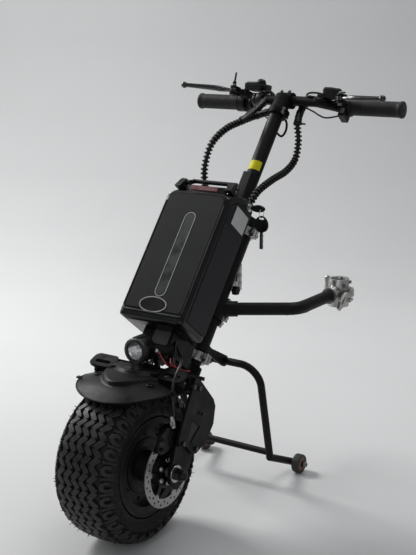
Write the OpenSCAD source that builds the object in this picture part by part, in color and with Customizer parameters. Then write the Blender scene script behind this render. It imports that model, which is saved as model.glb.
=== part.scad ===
// Electric drive unit that docks to the front of a manual wheelchair.
// +Z is up, the drive wheel leads toward -Y and the docking arms reach back toward +Y.
// The origin lies on the ground under the middle of the unit.

/* [Wheel] */
// Outer diameter of the tyre
tyre_d = 310; // [300:1:316]
// Width of the tyre
tyre_w = 128; // [118:1:132]
// Diameter over the rim lips
rim_lip_d = 192; // [186:1:196]
// Diameter of the brake rotor
rotor_d = 140; // [134:1:144]
// Diameter of the fixed wheel axle
axle_d = 14; // [12:0.5:15]

/* [Fork] */
// Distance from the middle to the inner face of a dropout plate
dropout_x = 106; // [105:0.5:108]
// Thickness of the dropout and blade plates
plate_t = 6; // [5:0.5:7]
// Thickness of the crown plate
crown_t = 8; // [6:0.5:9]
// Gap between the tyre and the fender's ridge
fender_gap = 16; // [15:0.5:17]

/* [Column] */
// Lean of the column back from the vertical, in degrees
column_tilt = 38; // [37:0.5:39]
// Distance of the steering axis behind the axle, square to the column
steer_b = 94; // [92:0.5:97]
// Distance of the stem behind the axle, square to the column
stem_b = 48; // [46:0.5:49]
// Outer diameter of the steerer tube
steerer_d = 28.6; // [27:0.1:29]
// Outer diameter of the head tube that turns on the steerer
head_d = 36; // [35.5:0.1:38]
// Outer diameter of the stem
stem_d = 31.8; // [30:0.1:32.5]
// Height of the stem's upper end along the column
stem_top_u = 842; // [830:1:850]

/* [Handlebar] */
// Outer diameter of the handlebar
bar_d = 22.2; // [21:0.1:22.6]
// Half of the clear width between the grips
grip_x = 150; // [146:1:168]
// Length of a grip
grip_len = 112; // [100:1:115]
// Outer diameter of a grip
grip_d = 34; // [31:0.5:36]

/* [Battery] */
// Width of the battery
battery_w = 152; // [140:1:158]
// Depth of the battery from front to back
battery_depth = 93; // [88:1:98]
// Height of the battery's straight case along the column
battery_h = 270; // [258:1:274]

/* [Docking] */
// Outer diameter of a docking arm
arm_d = 27; // [25:0.1:28]
// Distance from the middle to a docking clamp's axis
clamp_x = 146; // [140:1:156]
// Diameter of the wheelchair tube that a clamp grips
clamp_bore_d = 28; // [25.4:0.1:29]
// Height of a docking clamp
clamp_h = 62; // [56:1:66]

/* [Stand] */
// Outer diameter of the stand's tube
stand_tube_d = 16; // [15:0.5:18]
// Distance from the middle to a stand leg
stand_x = 105; // [98:1:110]
// Diameter of a stand wheel
stand_wheel_d = 42; // [38:1:46]

/* [Hidden] */
$fn = 64;
// Running clearance on a radius, and the open gap between parts that pass each other
fit = 0.05;
gap = 0.6;

// Wheel: r is a radius from the axle and x a distance along it
axle_z = tyre_d / 2;
tyre_r = tyre_d / 2;
axle_r = axle_d / 2;
lip_r = rim_lip_d / 2;
rim_r = lip_r - 10;
drum_r = rim_r - 10;
magnet_r = drum_r - 8;
stator_r = magnet_r - 1;
bead_x = 52;
lip_x = bead_x + 5;
side_x = 33;
side_t = 9;
bearing_r = 16;
bearing_w = 7;
rotor_x = 92.5;
rotor_t = 2;
rotor_bolt_r = 23;
axle_half = dropout_x + plate_t + 23;
blade_x = dropout_x + plate_t;

// Column: b runs back square to the column and u runs up along it, both from the axle
crown_slope = 22;
crown_front_y = 52;
crown_gap = 17;
crown_front_z = tyre_r + crown_gap;
fender_r = tyre_r + fender_gap;
// Height of the crown plate's front edge above the foot of the column's axis
crown_rise = 172;
column_z = crown_front_z - crown_rise;
collar_d = 42;
collar_h = 20;
head_u0 = 270.6;
head_u1 = 545.4;
bush_len = 30;
bush_d = steerer_d + 2.6;
bridge_u = 568;
bridge_h = 22;
arm_u = 372;
stand_u = 288;
stand_b = 169;
battery_u0 = 264;
battery_back_b = -15;
battery_front_b = battery_back_b - battery_depth;
cap_h = 6;
top_rise = 30;
rail_b = -14;
rail_t = 6;
bar_rise = 34;
bar_u = stem_top_u + bar_rise;
bar_b = 62;
grip_u = bar_u + 20;
grip_b = 108;
bar_half = grip_x + grip_len;

// Docking frame, measured from the axle
function col_y(u, b) = u * sin(column_tilt) + b * cos(column_tilt);
function col_z(u, b) = column_z + u * cos(column_tilt) - b * sin(column_tilt);
arm_y = col_y(arm_u, steer_b);
arm_z = col_z(arm_u, steer_b);
arm_sweep = 34;
arm_bend_r = 45;
arm_start = 29;
arm_corner = clamp_x / cos(arm_sweep);
arm_tangent = arm_bend_r * tan((90 - arm_sweep) / 2);
arm_corner_y = arm_y + arm_corner * sin(arm_sweep);
clamp_y = arm_corner_y + 182;
clamp_wall = 6;
liner_t = 3;
clamp_r = clamp_bore_d / 2 + liner_t + clamp_wall;
hinge_x = clamp_r + 6;
latch_x = clamp_r + 7;
latch_y = -9;
knuckle_r = 6;
pin_r = 2.5;

// Stand
stand_y = col_y(stand_u, stand_b);
stand_z = col_z(stand_u, stand_b);
stand_lean = 13;
stand_bend_r = 46;
stand_foot_z = 62 - axle_z;
stand_leg = (stand_z - stand_foot_z) / cos(stand_lean);
stand_foot_y = stand_y + stand_leg * sin(stand_lean);
stand_wheel_y = stand_foot_y + 92;
stand_wheel_z = stand_wheel_d / 2 - axle_z;
stand_wheel_x = stand_x + 21;
stand_wheel_w = 18;
stand_axle_d = 8;

// The unit's depth runs from the tyre's front to the back of the grips
grip_y = col_y(grip_u, grip_b);
grip_flange = 3;
origin_y = (grip_y + grip_d / 2 + grip_flange - tyre_r) / 2;

// Height along the column at which a tube at b meets the crown plate, and its place along the plate
function crown_u(b) = (crown_front_y * sin(crown_slope) + crown_rise * cos(crown_slope)
    - b * sin(crown_slope - column_tilt)) / cos(column_tilt - crown_slope);
function crown_t_at(b) = (col_y(crown_u(b), b) - crown_front_y) * cos(crown_slope)
    - (col_z(crown_u(b), b) - crown_front_z) * sin(crown_slope);

// Frames and repeated shapes

module axle_frame() {
    translate([0, -origin_y, axle_z]) children();
}

module column() {
    axle_frame() translate([0, 0, column_z]) rotate([-column_tilt, 0, 0]) children();
}

module crown_frame() {
    axle_frame() translate([0, crown_front_y, crown_front_z]) rotate([-crown_slope, 0, 0]) children();
}

module both_sides() {
    children();
    mirror([1, 0, 0]) children();
}

module rod(p, q, d) {
    v = q - p;
    l = norm(v);
    translate(p) rotate([0, acos(v[2] / l), atan2(v[1], v[0])]) cylinder(h = l, d = d);
}

module disc_x(x0, x1, r) {
    translate([x0, 0, 0]) rotate([0, 90, 0]) cylinder(h = x1 - x0, r = r);
}

module ring_x(x0, x1, r0, r1) {
    difference() {
        disc_x(x0, x1, r1);
        disc_x(x0 - 1, x1 + 1, r0);
    }
}

module ring_z(z0, z1, r0, r1) {
    translate([0, 0, z0]) difference() {
        cylinder(h = z1 - z0, r = r1);
        translate([0, 0, -1]) cylinder(h = z1 - z0 + 2, r = r0);
    }
}

// A plate across x whose outline is given as [back, up]
module plate_x(x0, t, outline) {
    translate([x0, 0, 0]) rotate([90, 0, 90]) linear_extrude(t) polygon(outline);
}

module block(x, y, z) {
    translate([x[0], y[0], z[0]]) cube([x[1] - x[0], y[1] - y[0], z[1] - z[0]]);
}

module rounded(w, h, r) {
    square([w - 2 * r, h], center = true);
    square([w, h - 2 * r], center = true);
    for (sx = [-1, 1], sy = [-1, 1]) {
        translate([sx * (w / 2 - r), sy * (h / 2 - r)]) circle(r = r);
    }
}

// Smooth route through hand-set points
function at(p, i) = p[max(0, min(len(p) - 1, i))];
function knot(a, b, c, d, t) = 0.5 * (2 * b + (c - a) * t + (2 * a - 5 * b + 4 * c - d) * t * t
    + (3 * b - a - 3 * c + d) * t * t * t);
function route(p, s) = let(i = min(floor(s), len(p) - 2))
    knot(at(p, i - 1), p[i], p[i + 1], at(p, i + 2), s - i);
function unit(v) = v / norm(v);
function heading(p, s) = unit(route(p, min(s + 0.02, len(p) - 1)) - route(p, max(s - 0.02, 0)));
function hoop(p, s, r, n, ref) = let(t = heading(p, s), a = unit(cross(t, ref)), b = cross(t, a))
    [for (k = [0 : n - 1]) route(p, s) + r * (cos(360 * k / n) * a + sin(360 * k / n) * b)];
// Triangles between two rings of n points that start at i and j
function band(i, j, n) = [for (k = [0 : n - 1], h = [0, 1]) let(l = (k + 1) % n)
    h == 0 ? [i + k, i + l, j + l] : [i + k, j + l, j + k]];
function join(lists) = [for (l = lists, e = l) e];

// A round cord along a route
module cord(p, d, rings, ref, n = 8) {
    last = len(p) - 1;
    points = join([for (i = [0 : rings]) hoop(p, last * i / rings, d / 2, n, ref)]);
    sides = join([for (i = [0 : rings - 1]) band((i + 1) * n, i * n, n)]);
    ends = [[for (k = [0 : n - 1]) k], [for (k = [n - 1 : -1 : 0]) rings * n + k]];
    polyhedron(points, concat(sides, ends));
}

// A ribbed conduit with its bore along a route: each rib is a crest ring and a root ring
module conduit(p, d, rib, bore, ribs, ref, n = 8) {
    last = len(p) - 1;
    outer_n = 2 * ribs;
    inner_n = ceil(ribs / 3);
    outer = join([for (i = [0 : outer_n]) hoop(p, last * i / outer_n, d / 2 - (i % 2) * rib, n, ref)]);
    inner = join([for (i = [0 : inner_n]) hoop(p, last * i / inner_n, bore / 2, n, ref)]);
    first_in = (outer_n + 1) * n;
    outside = join([for (i = [0 : outer_n - 1]) band((i + 1) * n, i * n, n)]);
    inside = join([for (i = [0 : inner_n - 1]) band(first_in + i * n, first_in + (i + 1) * n, n)]);
    ends = concat(band(0, first_in, n), band(first_in + inner_n * n, outer_n * n, n));
    polyhedron(concat(outer, inner), concat(outside, inside, ends));
}

// Wheel

module tyre() {
    neck_r = lip_r + 1;
    wall = 9;
    color("#1c1c1d") axle_frame() rotate([0, 90, 0]) rotate_extrude() difference() {
        union() {
            translate([(neck_r + tyre_r) / 2, 0]) rounded(tyre_r - neck_r, tyre_w, 25);
            translate([rim_r, -bead_x]) square([neck_r - rim_r + 14, 2 * bead_x]);
        }
        translate([(neck_r + tyre_r) / 2, 0]) rounded(tyre_r - neck_r - 2 * wall, tyre_w - 2 * wall, 18);
        translate([rim_r - 1, -bead_x + wall]) square([neck_r - rim_r + 16, 2 * (bead_x - wall)]);
    }
}

module hub_shell() {
    color("#151516") axle_frame() {
        ring_x(-lip_x, lip_x, drum_r, rim_r);
        both_sides() ring_x(bead_x, lip_x, rim_r - 2, lip_r);
        ring_x(-side_x - side_t, -side_x, bearing_r, drum_r + 1);
    }
}

module hub_cover() {
    color("#1d1d1f") axle_frame() {
        ring_x(side_x, side_x + side_t, bearing_r, drum_r);
        ring_x(side_x + side_t - 1, rotor_x, bearing_r, rotor_bolt_r + 7);
    }
}

module magnet_ring() {
    color("#8a8d90") axle_frame() ring_x(-24, 24, magnet_r, drum_r);
}

module hub_bearings() {
    inset = (side_t - bearing_w) / 2;
    color("silver") axle_frame() both_sides()
        ring_x(side_x + inset, side_x + inset + bearing_w, axle_r + fit, bearing_r);
}

module brake_rotor() {
    r = rotor_d / 2;
    color("#c9cbcc") axle_frame() translate([rotor_x, 0, 0]) rotate([0, 90, 0]) linear_extrude(rotor_t)
        difference() {
            circle(r = r);
            circle(r = bearing_r);
            difference() {
                circle(r = r - 18);
                circle(r = rotor_bolt_r + 9);
                for (i = [0 : 5]) rotate(60 * i) translate([rotor_bolt_r, 0]) rotate(28) square([44, 9]);
            }
            for (i = [0 : 17], row = [0, 1]) {
                rotate(20 * i + 10 * row) translate([r - 6 - 6 * row, 0]) circle(d = 4.6);
            }
            for (i = [0 : 5]) rotate(60 * i) translate([rotor_bolt_r, 0]) circle(d = 5);
        }
}

// Fork and fixed axle

module axle() {
    spacer_r = axle_r + 4;
    color("#b9bbbc") axle_frame() {
        disc_x(-axle_half, axle_half, axle_r);
        disc_x(rotor_x + rotor_t + 3, dropout_x, spacer_r);
        disc_x(-dropout_x, -side_x - side_t - 2, spacer_r);
    }
}

module stator() {
    color("#9b6a3c") axle_frame() difference() {
        ring_x(-22, 22, axle_r, stator_r);
        for (i = [0 : 17]) rotate([20 * i, 0, 0]) block([-23, 23], [-2, 2], [stator_r - 20, stator_r + 1]);
    }
}

// Outlines of the flat plates as [back, up] from the axle
dropout_outline = [
    [-16, -16], [8, -36], [34, -22], [52, 6], [72, 32], [66, 46],
    [46, 52], [16, 60], [4, 54], [-4, 30], [-16, 10]
];
blade_outline = [
    [50, 150 + column_z], [62, 171 + column_z], [80, 160 + column_z], [122, 112], [128, 96], [121, 62],
    [97, 34], [62, 20], [48, 24],
    [30, 44], [6, 52], [4, 62], [22, 100]
];
blade_window = [[49, 91], [75, 71], [42, 46], [34, 52]];
blade_holes = [[70, 100], [81, 94]];
// Bolts that join a blade to its dropout plate, as [back, up]
blade_bolts = [[18, 54], [60, 30]];
// Bolts that join a blade to the crown's end flange, as [along the crown, down]
crown_bolts = [[8, -14], [28, -14]];
bolt_d = 6;

module dropouts() {
    color("#232325") axle_frame() both_sides() difference() {
        plate_x(dropout_x, plate_t, dropout_outline);
        disc_x(dropout_x - 1, blade_x + 1, axle_r);
        for (q = blade_bolts) translate([0, q[0], q[1]]) disc_x(dropout_x - 1, blade_x + 1, bolt_d / 2);
    }
}

module fork_blades() {
    color("#222225") difference() {
        axle_frame() both_sides() difference() {
            plate_x(blade_x, plate_t, blade_outline);
            plate_x(blade_x - 1, plate_t + 2, blade_window);
            for (q = concat(blade_holes, blade_bolts)) {
                translate([0, q[0], q[1]]) disc_x(blade_x - 1, blade_x + plate_t + 1, bolt_d / 2);
            }
        }
        crown_frame() both_sides() for (q = crown_bolts) {
            translate([0, q[0], q[1]]) disc_x(blade_x - 1, blade_x + plate_t + 1, bolt_d / 2);
        }
    }
}

module bolt_x(x0, x1, d) {
    disc_x(x0, x1, d / 2);
    translate([x1, 0, 0]) rotate([0, 90, 0]) cylinder(h = 0.65 * d, d = 1.7 * d, $fn = 6);
}

module fork_fasteners() {
    washer_x = dropout_x + plate_t;
    color("#c4c6c7") {
        axle_frame() both_sides() {
            ring_x(washer_x, washer_x + 3, axle_r, axle_r + 8);
            difference() {
                translate([washer_x + 3, 0, 0]) rotate([0, 90, 0]) cylinder(h = 12, r = axle_r + 6, $fn = 6);
                disc_x(washer_x + 2, washer_x + 16, axle_r);
            }
            for (q = blade_bolts) translate([0, q[0], q[1]]) bolt_x(dropout_x, blade_x + plate_t, bolt_d);
        }
        crown_frame() both_sides() for (q = crown_bolts) {
            translate([0, q[0], q[1]]) bolt_x(blade_x - plate_t, blade_x + plate_t, bolt_d);
        }
    }
}

module crown() {
    steer_t = crown_t_at(steer_b);
    stem_t = crown_t_at(stem_b);
    steer_u = crown_u(steer_b);
    stem_u = crown_u(stem_b);
    half = blade_x;
    ear_size = [58, 36];
    ear_x = half - ear_size[0] / 2;
    ear_front_y = 22;
    outline = [
        [-half, -6], [half, -6], [half, 38], [70, 44], [36, stem_t - 20], [28, steer_t + 18],
        [14, steer_t + 28], [-14, steer_t + 28], [-28, steer_t + 18], [-36, stem_t - 20],
        [-70, 44], [-half, 38]
    ];
    color("#2a2a2c") difference() {
        union() {
            crown_frame() {
                linear_extrude(crown_t) polygon(outline);
                both_sides() block([half - plate_t, half], [-4, 38], [-24, 1]);
            }
            column() {
                translate([0, steer_b, steer_u - 8]) cylinder(h = 34, d = steerer_d + 11);
                translate([0, stem_b, stem_u - 8]) cylinder(h = 34, d = stem_d + 9);
            }
            // Slotted ears over the fender
            axle_frame() both_sides() translate([ear_x, ear_front_y, fender_r - 4.5]) {
                rotate([crown_slope, 0, 0]) linear_extrude(5) translate([0, ear_size[1] / 2]) difference() {
                    rounded(ear_size[0], ear_size[1], 12);
                    translate([0, -4]) rounded(36, 9, 4.4);
                }
            }
        }
        column() {
            translate([0, steer_b, steer_u - 30]) cylinder(h = 80, d = steerer_d);
            translate([0, stem_b, stem_u - 30]) cylinder(h = 80, d = stem_d);
        }
        crown_frame() both_sides() {
            for (q = crown_bolts) translate([0, q[0], q[1]]) {
                disc_x(half - plate_t - 1, half + 1, bolt_d / 2);
            }
            translate([0, 0, -1]) linear_extrude(crown_t + 2) {
                translate([66, 14]) rounded(46, 12, 5.9);
            }
            translate([30, 30, -1]) cylinder(h = crown_t + 2, d = bolt_d);
        }
    }
}

module fender() {
    half_w = 88;
    arch_r = 320;
    nose_r = 98;
    nose_y = 10;
    thick = 3;
    color("#3b3b3d") {
        intersection() {
            axle_frame() rotate([0, 90, 0]) rotate_extrude() intersection() {
                translate([fender_r - arch_r, 0]) difference() {
                    circle(r = arch_r, $fn = 128);
                    circle(r = arch_r - thick, $fn = 128);
                }
                translate([120, -half_w]) square([80, 2 * half_w]);
            }
            axle_frame() translate([0, 0, 100]) linear_extrude(100) intersection() {
                union() {
                    translate([0, nose_y]) circle(r = nose_r);
                    translate([-half_w, nose_y]) square([2 * half_w, 78]);
                }
                translate([-half_w, nose_y - nose_r]) square([2 * half_w, nose_r + 78]);
            }
        }
        crown_frame() both_sides() translate([30, 30, -12]) difference() {
            cylinder(h = 12, d = 14);
            translate([0, 0, 6]) cylinder(h = 7, d = bolt_d);
        }
    }
}

// Headlight

light_y = 52;
light_z = crown_front_z + 40;
light_r = 25;
lens_r = 17.5;
light_ear_x = light_r + 1;

module headlight_bracket() {
    dy = light_y - crown_front_y;
    dz = light_z - crown_front_z;
    pivot_t = dy * cos(crown_slope) - dz * sin(crown_slope);
    pivot_n = dy * sin(crown_slope) + dz * cos(crown_slope);
    color("#1f1f21") crown_frame() difference() {
        union() {
            block([-light_ear_x - 4, light_ear_x + 4], [0, 15], [crown_t, crown_t + 3]);
            both_sides() {
                plate_x(light_ear_x, 4, [
                    [0, crown_t], [15, crown_t], [pivot_t + 8, pivot_n], [pivot_t - 8, pivot_n]
                ]);
                translate([0, pivot_t, pivot_n]) disc_x(light_ear_x, light_ear_x + 4, 8);
            }
        }
        translate([0, pivot_t, pivot_n]) disc_x(-40, 40, 3 + fit);
    }
}

module headlight_body() {
    color("#161617") axle_frame() translate([0, light_y, light_z]) {
        rotate([90, 0, 0]) difference() {
            union() {
                translate([0, 0, -8]) cylinder(h = 32, r = light_r);
                translate([0, 0, -16]) cylinder(h = 9, r1 = 13, r2 = 20);
            }
            translate([0, 0, 18]) cylinder(h = 8, r = lens_r);
        }
        disc_x(-light_ear_x - 6, light_ear_x + 6, 3);
        both_sides() disc_x(light_ear_x + 4 + gap, light_ear_x + 8, 6);
    }
}

module headlight_lens() {
    color("#dfe6ea") axle_frame() translate([0, light_y, light_z]) rotate([90, 0, 0])
        translate([0, 0, 18]) cylinder(h = 4, r = lens_r);
}

// Steering column

module steerer_tube() {
    u0 = crown_u(steer_b) - 8;
    u1 = bridge_u + bridge_h;
    color("#19191a") column() translate([0, steer_b, 0]) ring_z(u0, u1, steerer_d / 2 - 3, steerer_d / 2);
}

module steerer_collars() {
    color("#cfd1d2") column() translate([0, steer_b, 0])
        for (u = [head_u0 - gap - collar_h, head_u1 + gap]) difference() {
            union() {
                ring_z(u, u + collar_h, steerer_d / 2, collar_d / 2);
                block([collar_d / 2 - 4, collar_d / 2 + 9], [-9, 9], [u, u + collar_h]);
            }
            block([steerer_d / 2 + 1, collar_d], [-1, 1], [u - 1, u + collar_h + 1]);
            translate([collar_d / 2 + 3.5, -10, u + collar_h / 2]) rotate([-90, 0, 0])
                cylinder(h = 20, d = 5);
        }
}

module stem_tube() {
    u0 = crown_u(stem_b) - 8;
    color("#161617") column() translate([0, stem_b, 0]) ring_z(u0, stem_top_u, stem_d / 2 - 2.5, stem_d / 2);
}

module upper_bridge() {
    tongue_u = 668;
    color("#202022") column() difference() {
        union() {
            // Tongue up the stem's front
            block([-10, 10], [stem_b - stem_d / 2 - 9, stem_b - 4], [bridge_u + 2, tongue_u]);
            translate([0, stem_b, bridge_u]) cylinder(h = bridge_h, d = stem_d + 11);
            translate([0, steer_b, bridge_u]) cylinder(h = bridge_h, d = steerer_d + 11);
            block([-14, 14], [stem_b, steer_b], [bridge_u, bridge_u + bridge_h]);
        }
        translate([0, stem_b, bridge_u - 1]) cylinder(h = tongue_u + 2 - bridge_u, d = stem_d);
        translate([0, steer_b, bridge_u - 1]) cylinder(h = bridge_h + 2, d = steerer_d);
    }
}

module bar_neck() {
    collar_u = stem_top_u - 16;
    color("#1b1b1d") column() difference() {
        union() {
            translate([0, stem_b, collar_u]) cylinder(h = 16, d = stem_d + 11);
            translate([0, stem_b, stem_top_u - 0.5]) cylinder(h = bar_u - stem_top_u, d = stem_d + 4);
            block([-14, 14], [stem_b - 4, bar_b], [stem_top_u + 6, bar_u]);
            translate([0, bar_b, bar_u]) disc_x(-18, 18, bar_d / 2 + 7);
            block([14, 25], [stem_b - 8, stem_b + 8], [collar_u + 1, collar_u + 15]);
        }
        translate([0, stem_b, collar_u - 1]) cylinder(h = 17, d = stem_d);
        translate([0, bar_b, bar_u]) disc_x(-40, 40, bar_d / 2);
    }
}

// Handlebar and controls

// The bar steps back between these two places along it
bar_step_x0 = grip_x - 72;
bar_step_x1 = grip_x - 45;

module handlebar() {
    middle = [bar_step_x0, bar_b, bar_u];
    step = [bar_step_x1, grip_b, grip_u];
    elbow_d = bar_d + 0.8;
    color("#1a1a1b") column() difference() {
        union() {
            translate([0, bar_b, bar_u]) disc_x(-bar_step_x0, bar_step_x0, bar_d / 2);
            both_sides() {
                rod(middle, step, bar_d);
                translate(middle) sphere(d = elbow_d);
                translate(step) sphere(d = elbow_d);
                translate([0, grip_b, grip_u]) disc_x(bar_step_x1, bar_half - 4, bar_d / 2);
            }
        }
        both_sides() translate([0, grip_b, grip_u]) disc_x(bar_step_x1 + 20, bar_half, bar_d / 2 - 2.2);
    }
}

module grip_frame() {
    column() translate([0, grip_b, grip_u]) children();
}

module grip_shape(x0, bore) {
    difference() {
        union() {
            disc_x(x0, bar_half, grip_d / 2);
            disc_x(x0, x0 + 4, grip_d / 2 + grip_flange);
        }
        disc_x(x0 - 1, bar_half - 3, bore);
    }
}

// The fixed grip reaches further in than the throttle
fixed_grip_x = grip_x - 14;

module grip_fixed() {
    color("#161617") grip_frame() grip_shape(fixed_grip_x, bar_d / 2);
}

module throttle_grip() {
    color("#161617") grip_frame() mirror([1, 0, 0]) grip_shape(grip_x, bar_d / 2 + fit);
}

clamp_x0 = grip_x - 18;
clamp_x1 = grip_x - gap;
display_x = grip_x - 64;
display_tilt = 28;
// The display stands on a clamp of its own on the bar's middle stretch
display_clamp = [8 - bar_step_x0, 22 - bar_step_x0];
display_size = [44, 54, 15];
button_d = 8;
button_h = 6;
button_travel = 1.5;
button_well = 6;

// The display's own frame: z is its face's outward direction
module display_frame() {
    column() translate([-display_x, bar_b - 2, bar_u + 40]) rotate([display_tilt, 0, 0]) children();
}

module throttle_display() {
    w = display_size[0];
    h = display_size[1];
    t = display_size[2];
    color("#1d1d1f") difference() {
        union() {
            grip_frame() mirror([1, 0, 0]) disc_x(clamp_x0, clamp_x1, 20);
            display_frame() translate([0, 0, -t]) linear_extrude(t) rounded(w, h, 6);
            column() translate([0, bar_b, bar_u]) {
                disc_x(display_clamp[0], display_clamp[1], bar_d / 2 + 5);
                block(display_clamp, [-8, 8], [6, 30]);
            }
        }
        grip_frame() disc_x(-clamp_x1 - 1, -clamp_x0 + 1, bar_d / 2);
        column() translate([0, bar_b, bar_u]) disc_x(display_clamp[0] - 1, display_clamp[1] + 1, bar_d / 2);
        display_frame() translate([0, 18, -button_well]) cylinder(h = 8, d = button_d + 2 * gap);
    }
}

module display_button() {
    color("#b8babc") display_frame() translate([0, 18, button_travel + gap - button_well])
        cylinder(h = button_h, d = button_d);
}

horn_face = 12;
horn_z = -23;
switch_x = [grip_x - 30, fixed_grip_x - gap];

module switch_box() {
    color("#19191a") grip_frame() difference() {
        union() {
            disc_x(switch_x[0], switch_x[1], 17);
            block(switch_x, [-16, horn_face], [-32, -8]);
        }
        disc_x(switch_x[0] - 1, switch_x[1] + 1, bar_d / 2);
        translate([(switch_x[0] + switch_x[1]) / 2, horn_face - button_well, horn_z]) rotate([-90, 0, 0])
            cylinder(h = 8, d = button_d + 2 * gap);
    }
}

module horn_button() {
    y = horn_face - button_well + button_travel + gap;
    color("#b03028") grip_frame() translate([(switch_x[0] + switch_x[1]) / 2, y, horn_z]) rotate([-90, 0, 0])
        cylinder(h = button_h, d = button_d);
}

lever_roll_left = 20;
lever_roll_right = 29;
lever_pivot = [grip_x - 12, -58, 14];
lever_pin_r = 3;
perch_x = [grip_x - 38, grip_x - 31];
cable_block = [[grip_x - 60, grip_x - 32], [-36, -22], [16, 26]];

// A lever's frame: z is the pivot pin and y the direction in which the lever is pulled
module lever_frame(side) {
    grip_frame() mirror([side < 0 ? 1 : 0, 0, 0])
        rotate([side < 0 ? lever_roll_left : lever_roll_right, 0, 0]) children();
}

module lever_perch(cable_body) {
    x = lever_pivot[0];
    y = lever_pivot[1];
    z = lever_pivot[2];
    root = [
        [perch_x[0], -10], [perch_x[1], -10], [perch_x[1], -24], [x + 8, y + 14], [x - 10, y + 14],
        [perch_x[0], -32]
    ];
    prong = [[x - 10, y + 15], [x + 8, y + 15], [x + 8, y], [x - 8, y]];
    difference() {
        union() {
            disc_x(perch_x[0], perch_x[1], 16);
            translate([0, 0, z - 7]) linear_extrude(14) polygon(root);
            for (s = [-1, 1]) translate([0, 0, z + s * 7.5 - 2.5]) {
                translate([x, y, 0]) cylinder(h = 5, r = 8);
                linear_extrude(5) polygon(prong);
            }
            translate([x, y, z - 10]) cylinder(h = 20, r = lever_pin_r);
            if (cable_body) block(cable_block[0], cable_block[1], cable_block[2]);
        }
        disc_x(perch_x[0] - 1, perch_x[1] + 1, bar_d / 2);
    }
}

module lever_perches() {
    color("#1c1c1e") {
        lever_frame(-1) lever_perch(false);
        lever_frame(1) lever_perch(true);
    }
}

module brake_lever() {
    thick = 7.6;
    outline = [
        [-8, -7], [10, -10], [42, -22], [80, -30], [113, -38],
        [113, -30], [80, -22], [42, -12], [12, 7], [-6, 7]
    ];
    translate(lever_pivot) difference() {
        union() {
            translate([0, 0, -thick / 2]) linear_extrude(thick) polygon(outline);
            translate([114, -34, 0]) sphere(r = 7);
        }
        translate([0, 0, -10]) cylinder(h = 20, r = lever_pin_r + fit);
    }
}

module brake_lever_left() {
    color("#202022") lever_frame(-1) brake_lever();
}

module brake_lever_right() {
    color("#202022") lever_frame(1) brake_lever();
}

// Battery, its rail and the controller behind it

module battery_rail() {
    rail_top_u = 560;
    clamp_us = [500, 532];
    clamp_len = 26;
    color("#232325") column() difference() {
        union() {
            block([-25, 25], [rail_b, rail_b + rail_t], [battery_u0, rail_top_u]);
            for (u = clamp_us) {
                block([-15, 15], [rail_b + rail_t - 1, stem_b], [u, u + clamp_len]);
                translate([0, stem_b, u]) cylinder(h = clamp_len, d = stem_d + 10);
            }
        }
        for (u = clamp_us) translate([0, stem_b, u - 1]) cylinder(h = clamp_len + 2, d = stem_d);
    }
}

controller_x = 42;
controller_b = [rail_b + rail_t, 26];
controller_u = [284, 490];
gland_x = 28;
gland_b = 10;

function inset(range) = [range[0] + 3, range[1] - 3];

module controller_box() {
    color("#2b2c2e") column() {
        difference() {
            block([-controller_x, controller_x], controller_b, controller_u);
            block(inset([-controller_x, controller_x]), inset(controller_b), inset(controller_u));
        }
        both_sides() translate([gland_x, gland_b, 0]) {
            ring_z(controller_u[1] - 1, controller_u[1] + 10, 5, 8);
        }
        // Junction box under the battery
        block([-36, 36], [-60, 24], [210, 256]);
        block([-20, 20], [-4, 22], [255, controller_u[0] + 1]);
    }
}

loom_d = 14;
loom_bore = 9;

// The conduits run from the controller's glands to their mouths under the bar
loom_foot_u = controller_u[1] + 11.2;
loom_mouth_u = bar_u - 18;

// Routes on the column as [across, back, share of the way up]
loom_left_shape = [
    [-34, 70, 0.98], [-46, 44, 0.9], [-56, 14, 0.8], [-66, -18, 0.68], [-74, -34, 0.546], [-79, -22, 0.423],
    [-79, -3, 0.339], [-62, 7, 0.235], [-34, 10, 0.12], [-28, 10, 0]
];
loom_right_shape = [
    [36, 78, 1], [46, 68, 0.9], [53, 86, 0.804], [55, 96, 0.692], [55, 78, 0.574], [53, 44, 0.456],
    [51, 12, 0.322], [46, 6, 0.21], [33, 10, 0.11], [28, 10, 0]
];
function loom_route(shape) = [
    for (q = shape) [q[0], q[1], loom_foot_u + q[2] * (loom_mouth_u - loom_foot_u)]
];
loom_left_route = loom_route(loom_left_shape);
loom_right_route = loom_route(loom_right_shape);

module loom_left() {
    color("#141415") column() conduit(loom_left_route, loom_d, 1.3, loom_bore, 92, [1, 0, 0.2]);
}

module loom_right() {
    color("#141415") column() conduit(loom_right_route, loom_d, 1.3, loom_bore, 96, [1, 0, 0.2]);
}

// A lead's last two points: ahead of a conduit's mouth and just inside it, beside the other lead
lead_d = 3.6;
function into(p, side) = let(h = unit(p[1] - p[0]), e = unit(cross(h, [1, 0, 0])))
    [p[0] - 18 * h + side * 1.95 * e, p[0] + 2 * h + side * 1.95 * e];

// A place on the right cable block's axis, given by its distance inside the block's end, on the column
function cable_block_end(inside) = let(y = (cable_block[1][0] + cable_block[1][1]) / 2,
    z = (cable_block[2][0] + cable_block[2][1]) / 2, a = lever_roll_right)
    [cable_block[0][0] + inside, grip_b + y * cos(a) - z * sin(a), grip_u + y * sin(a) + z * cos(a)];

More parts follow.
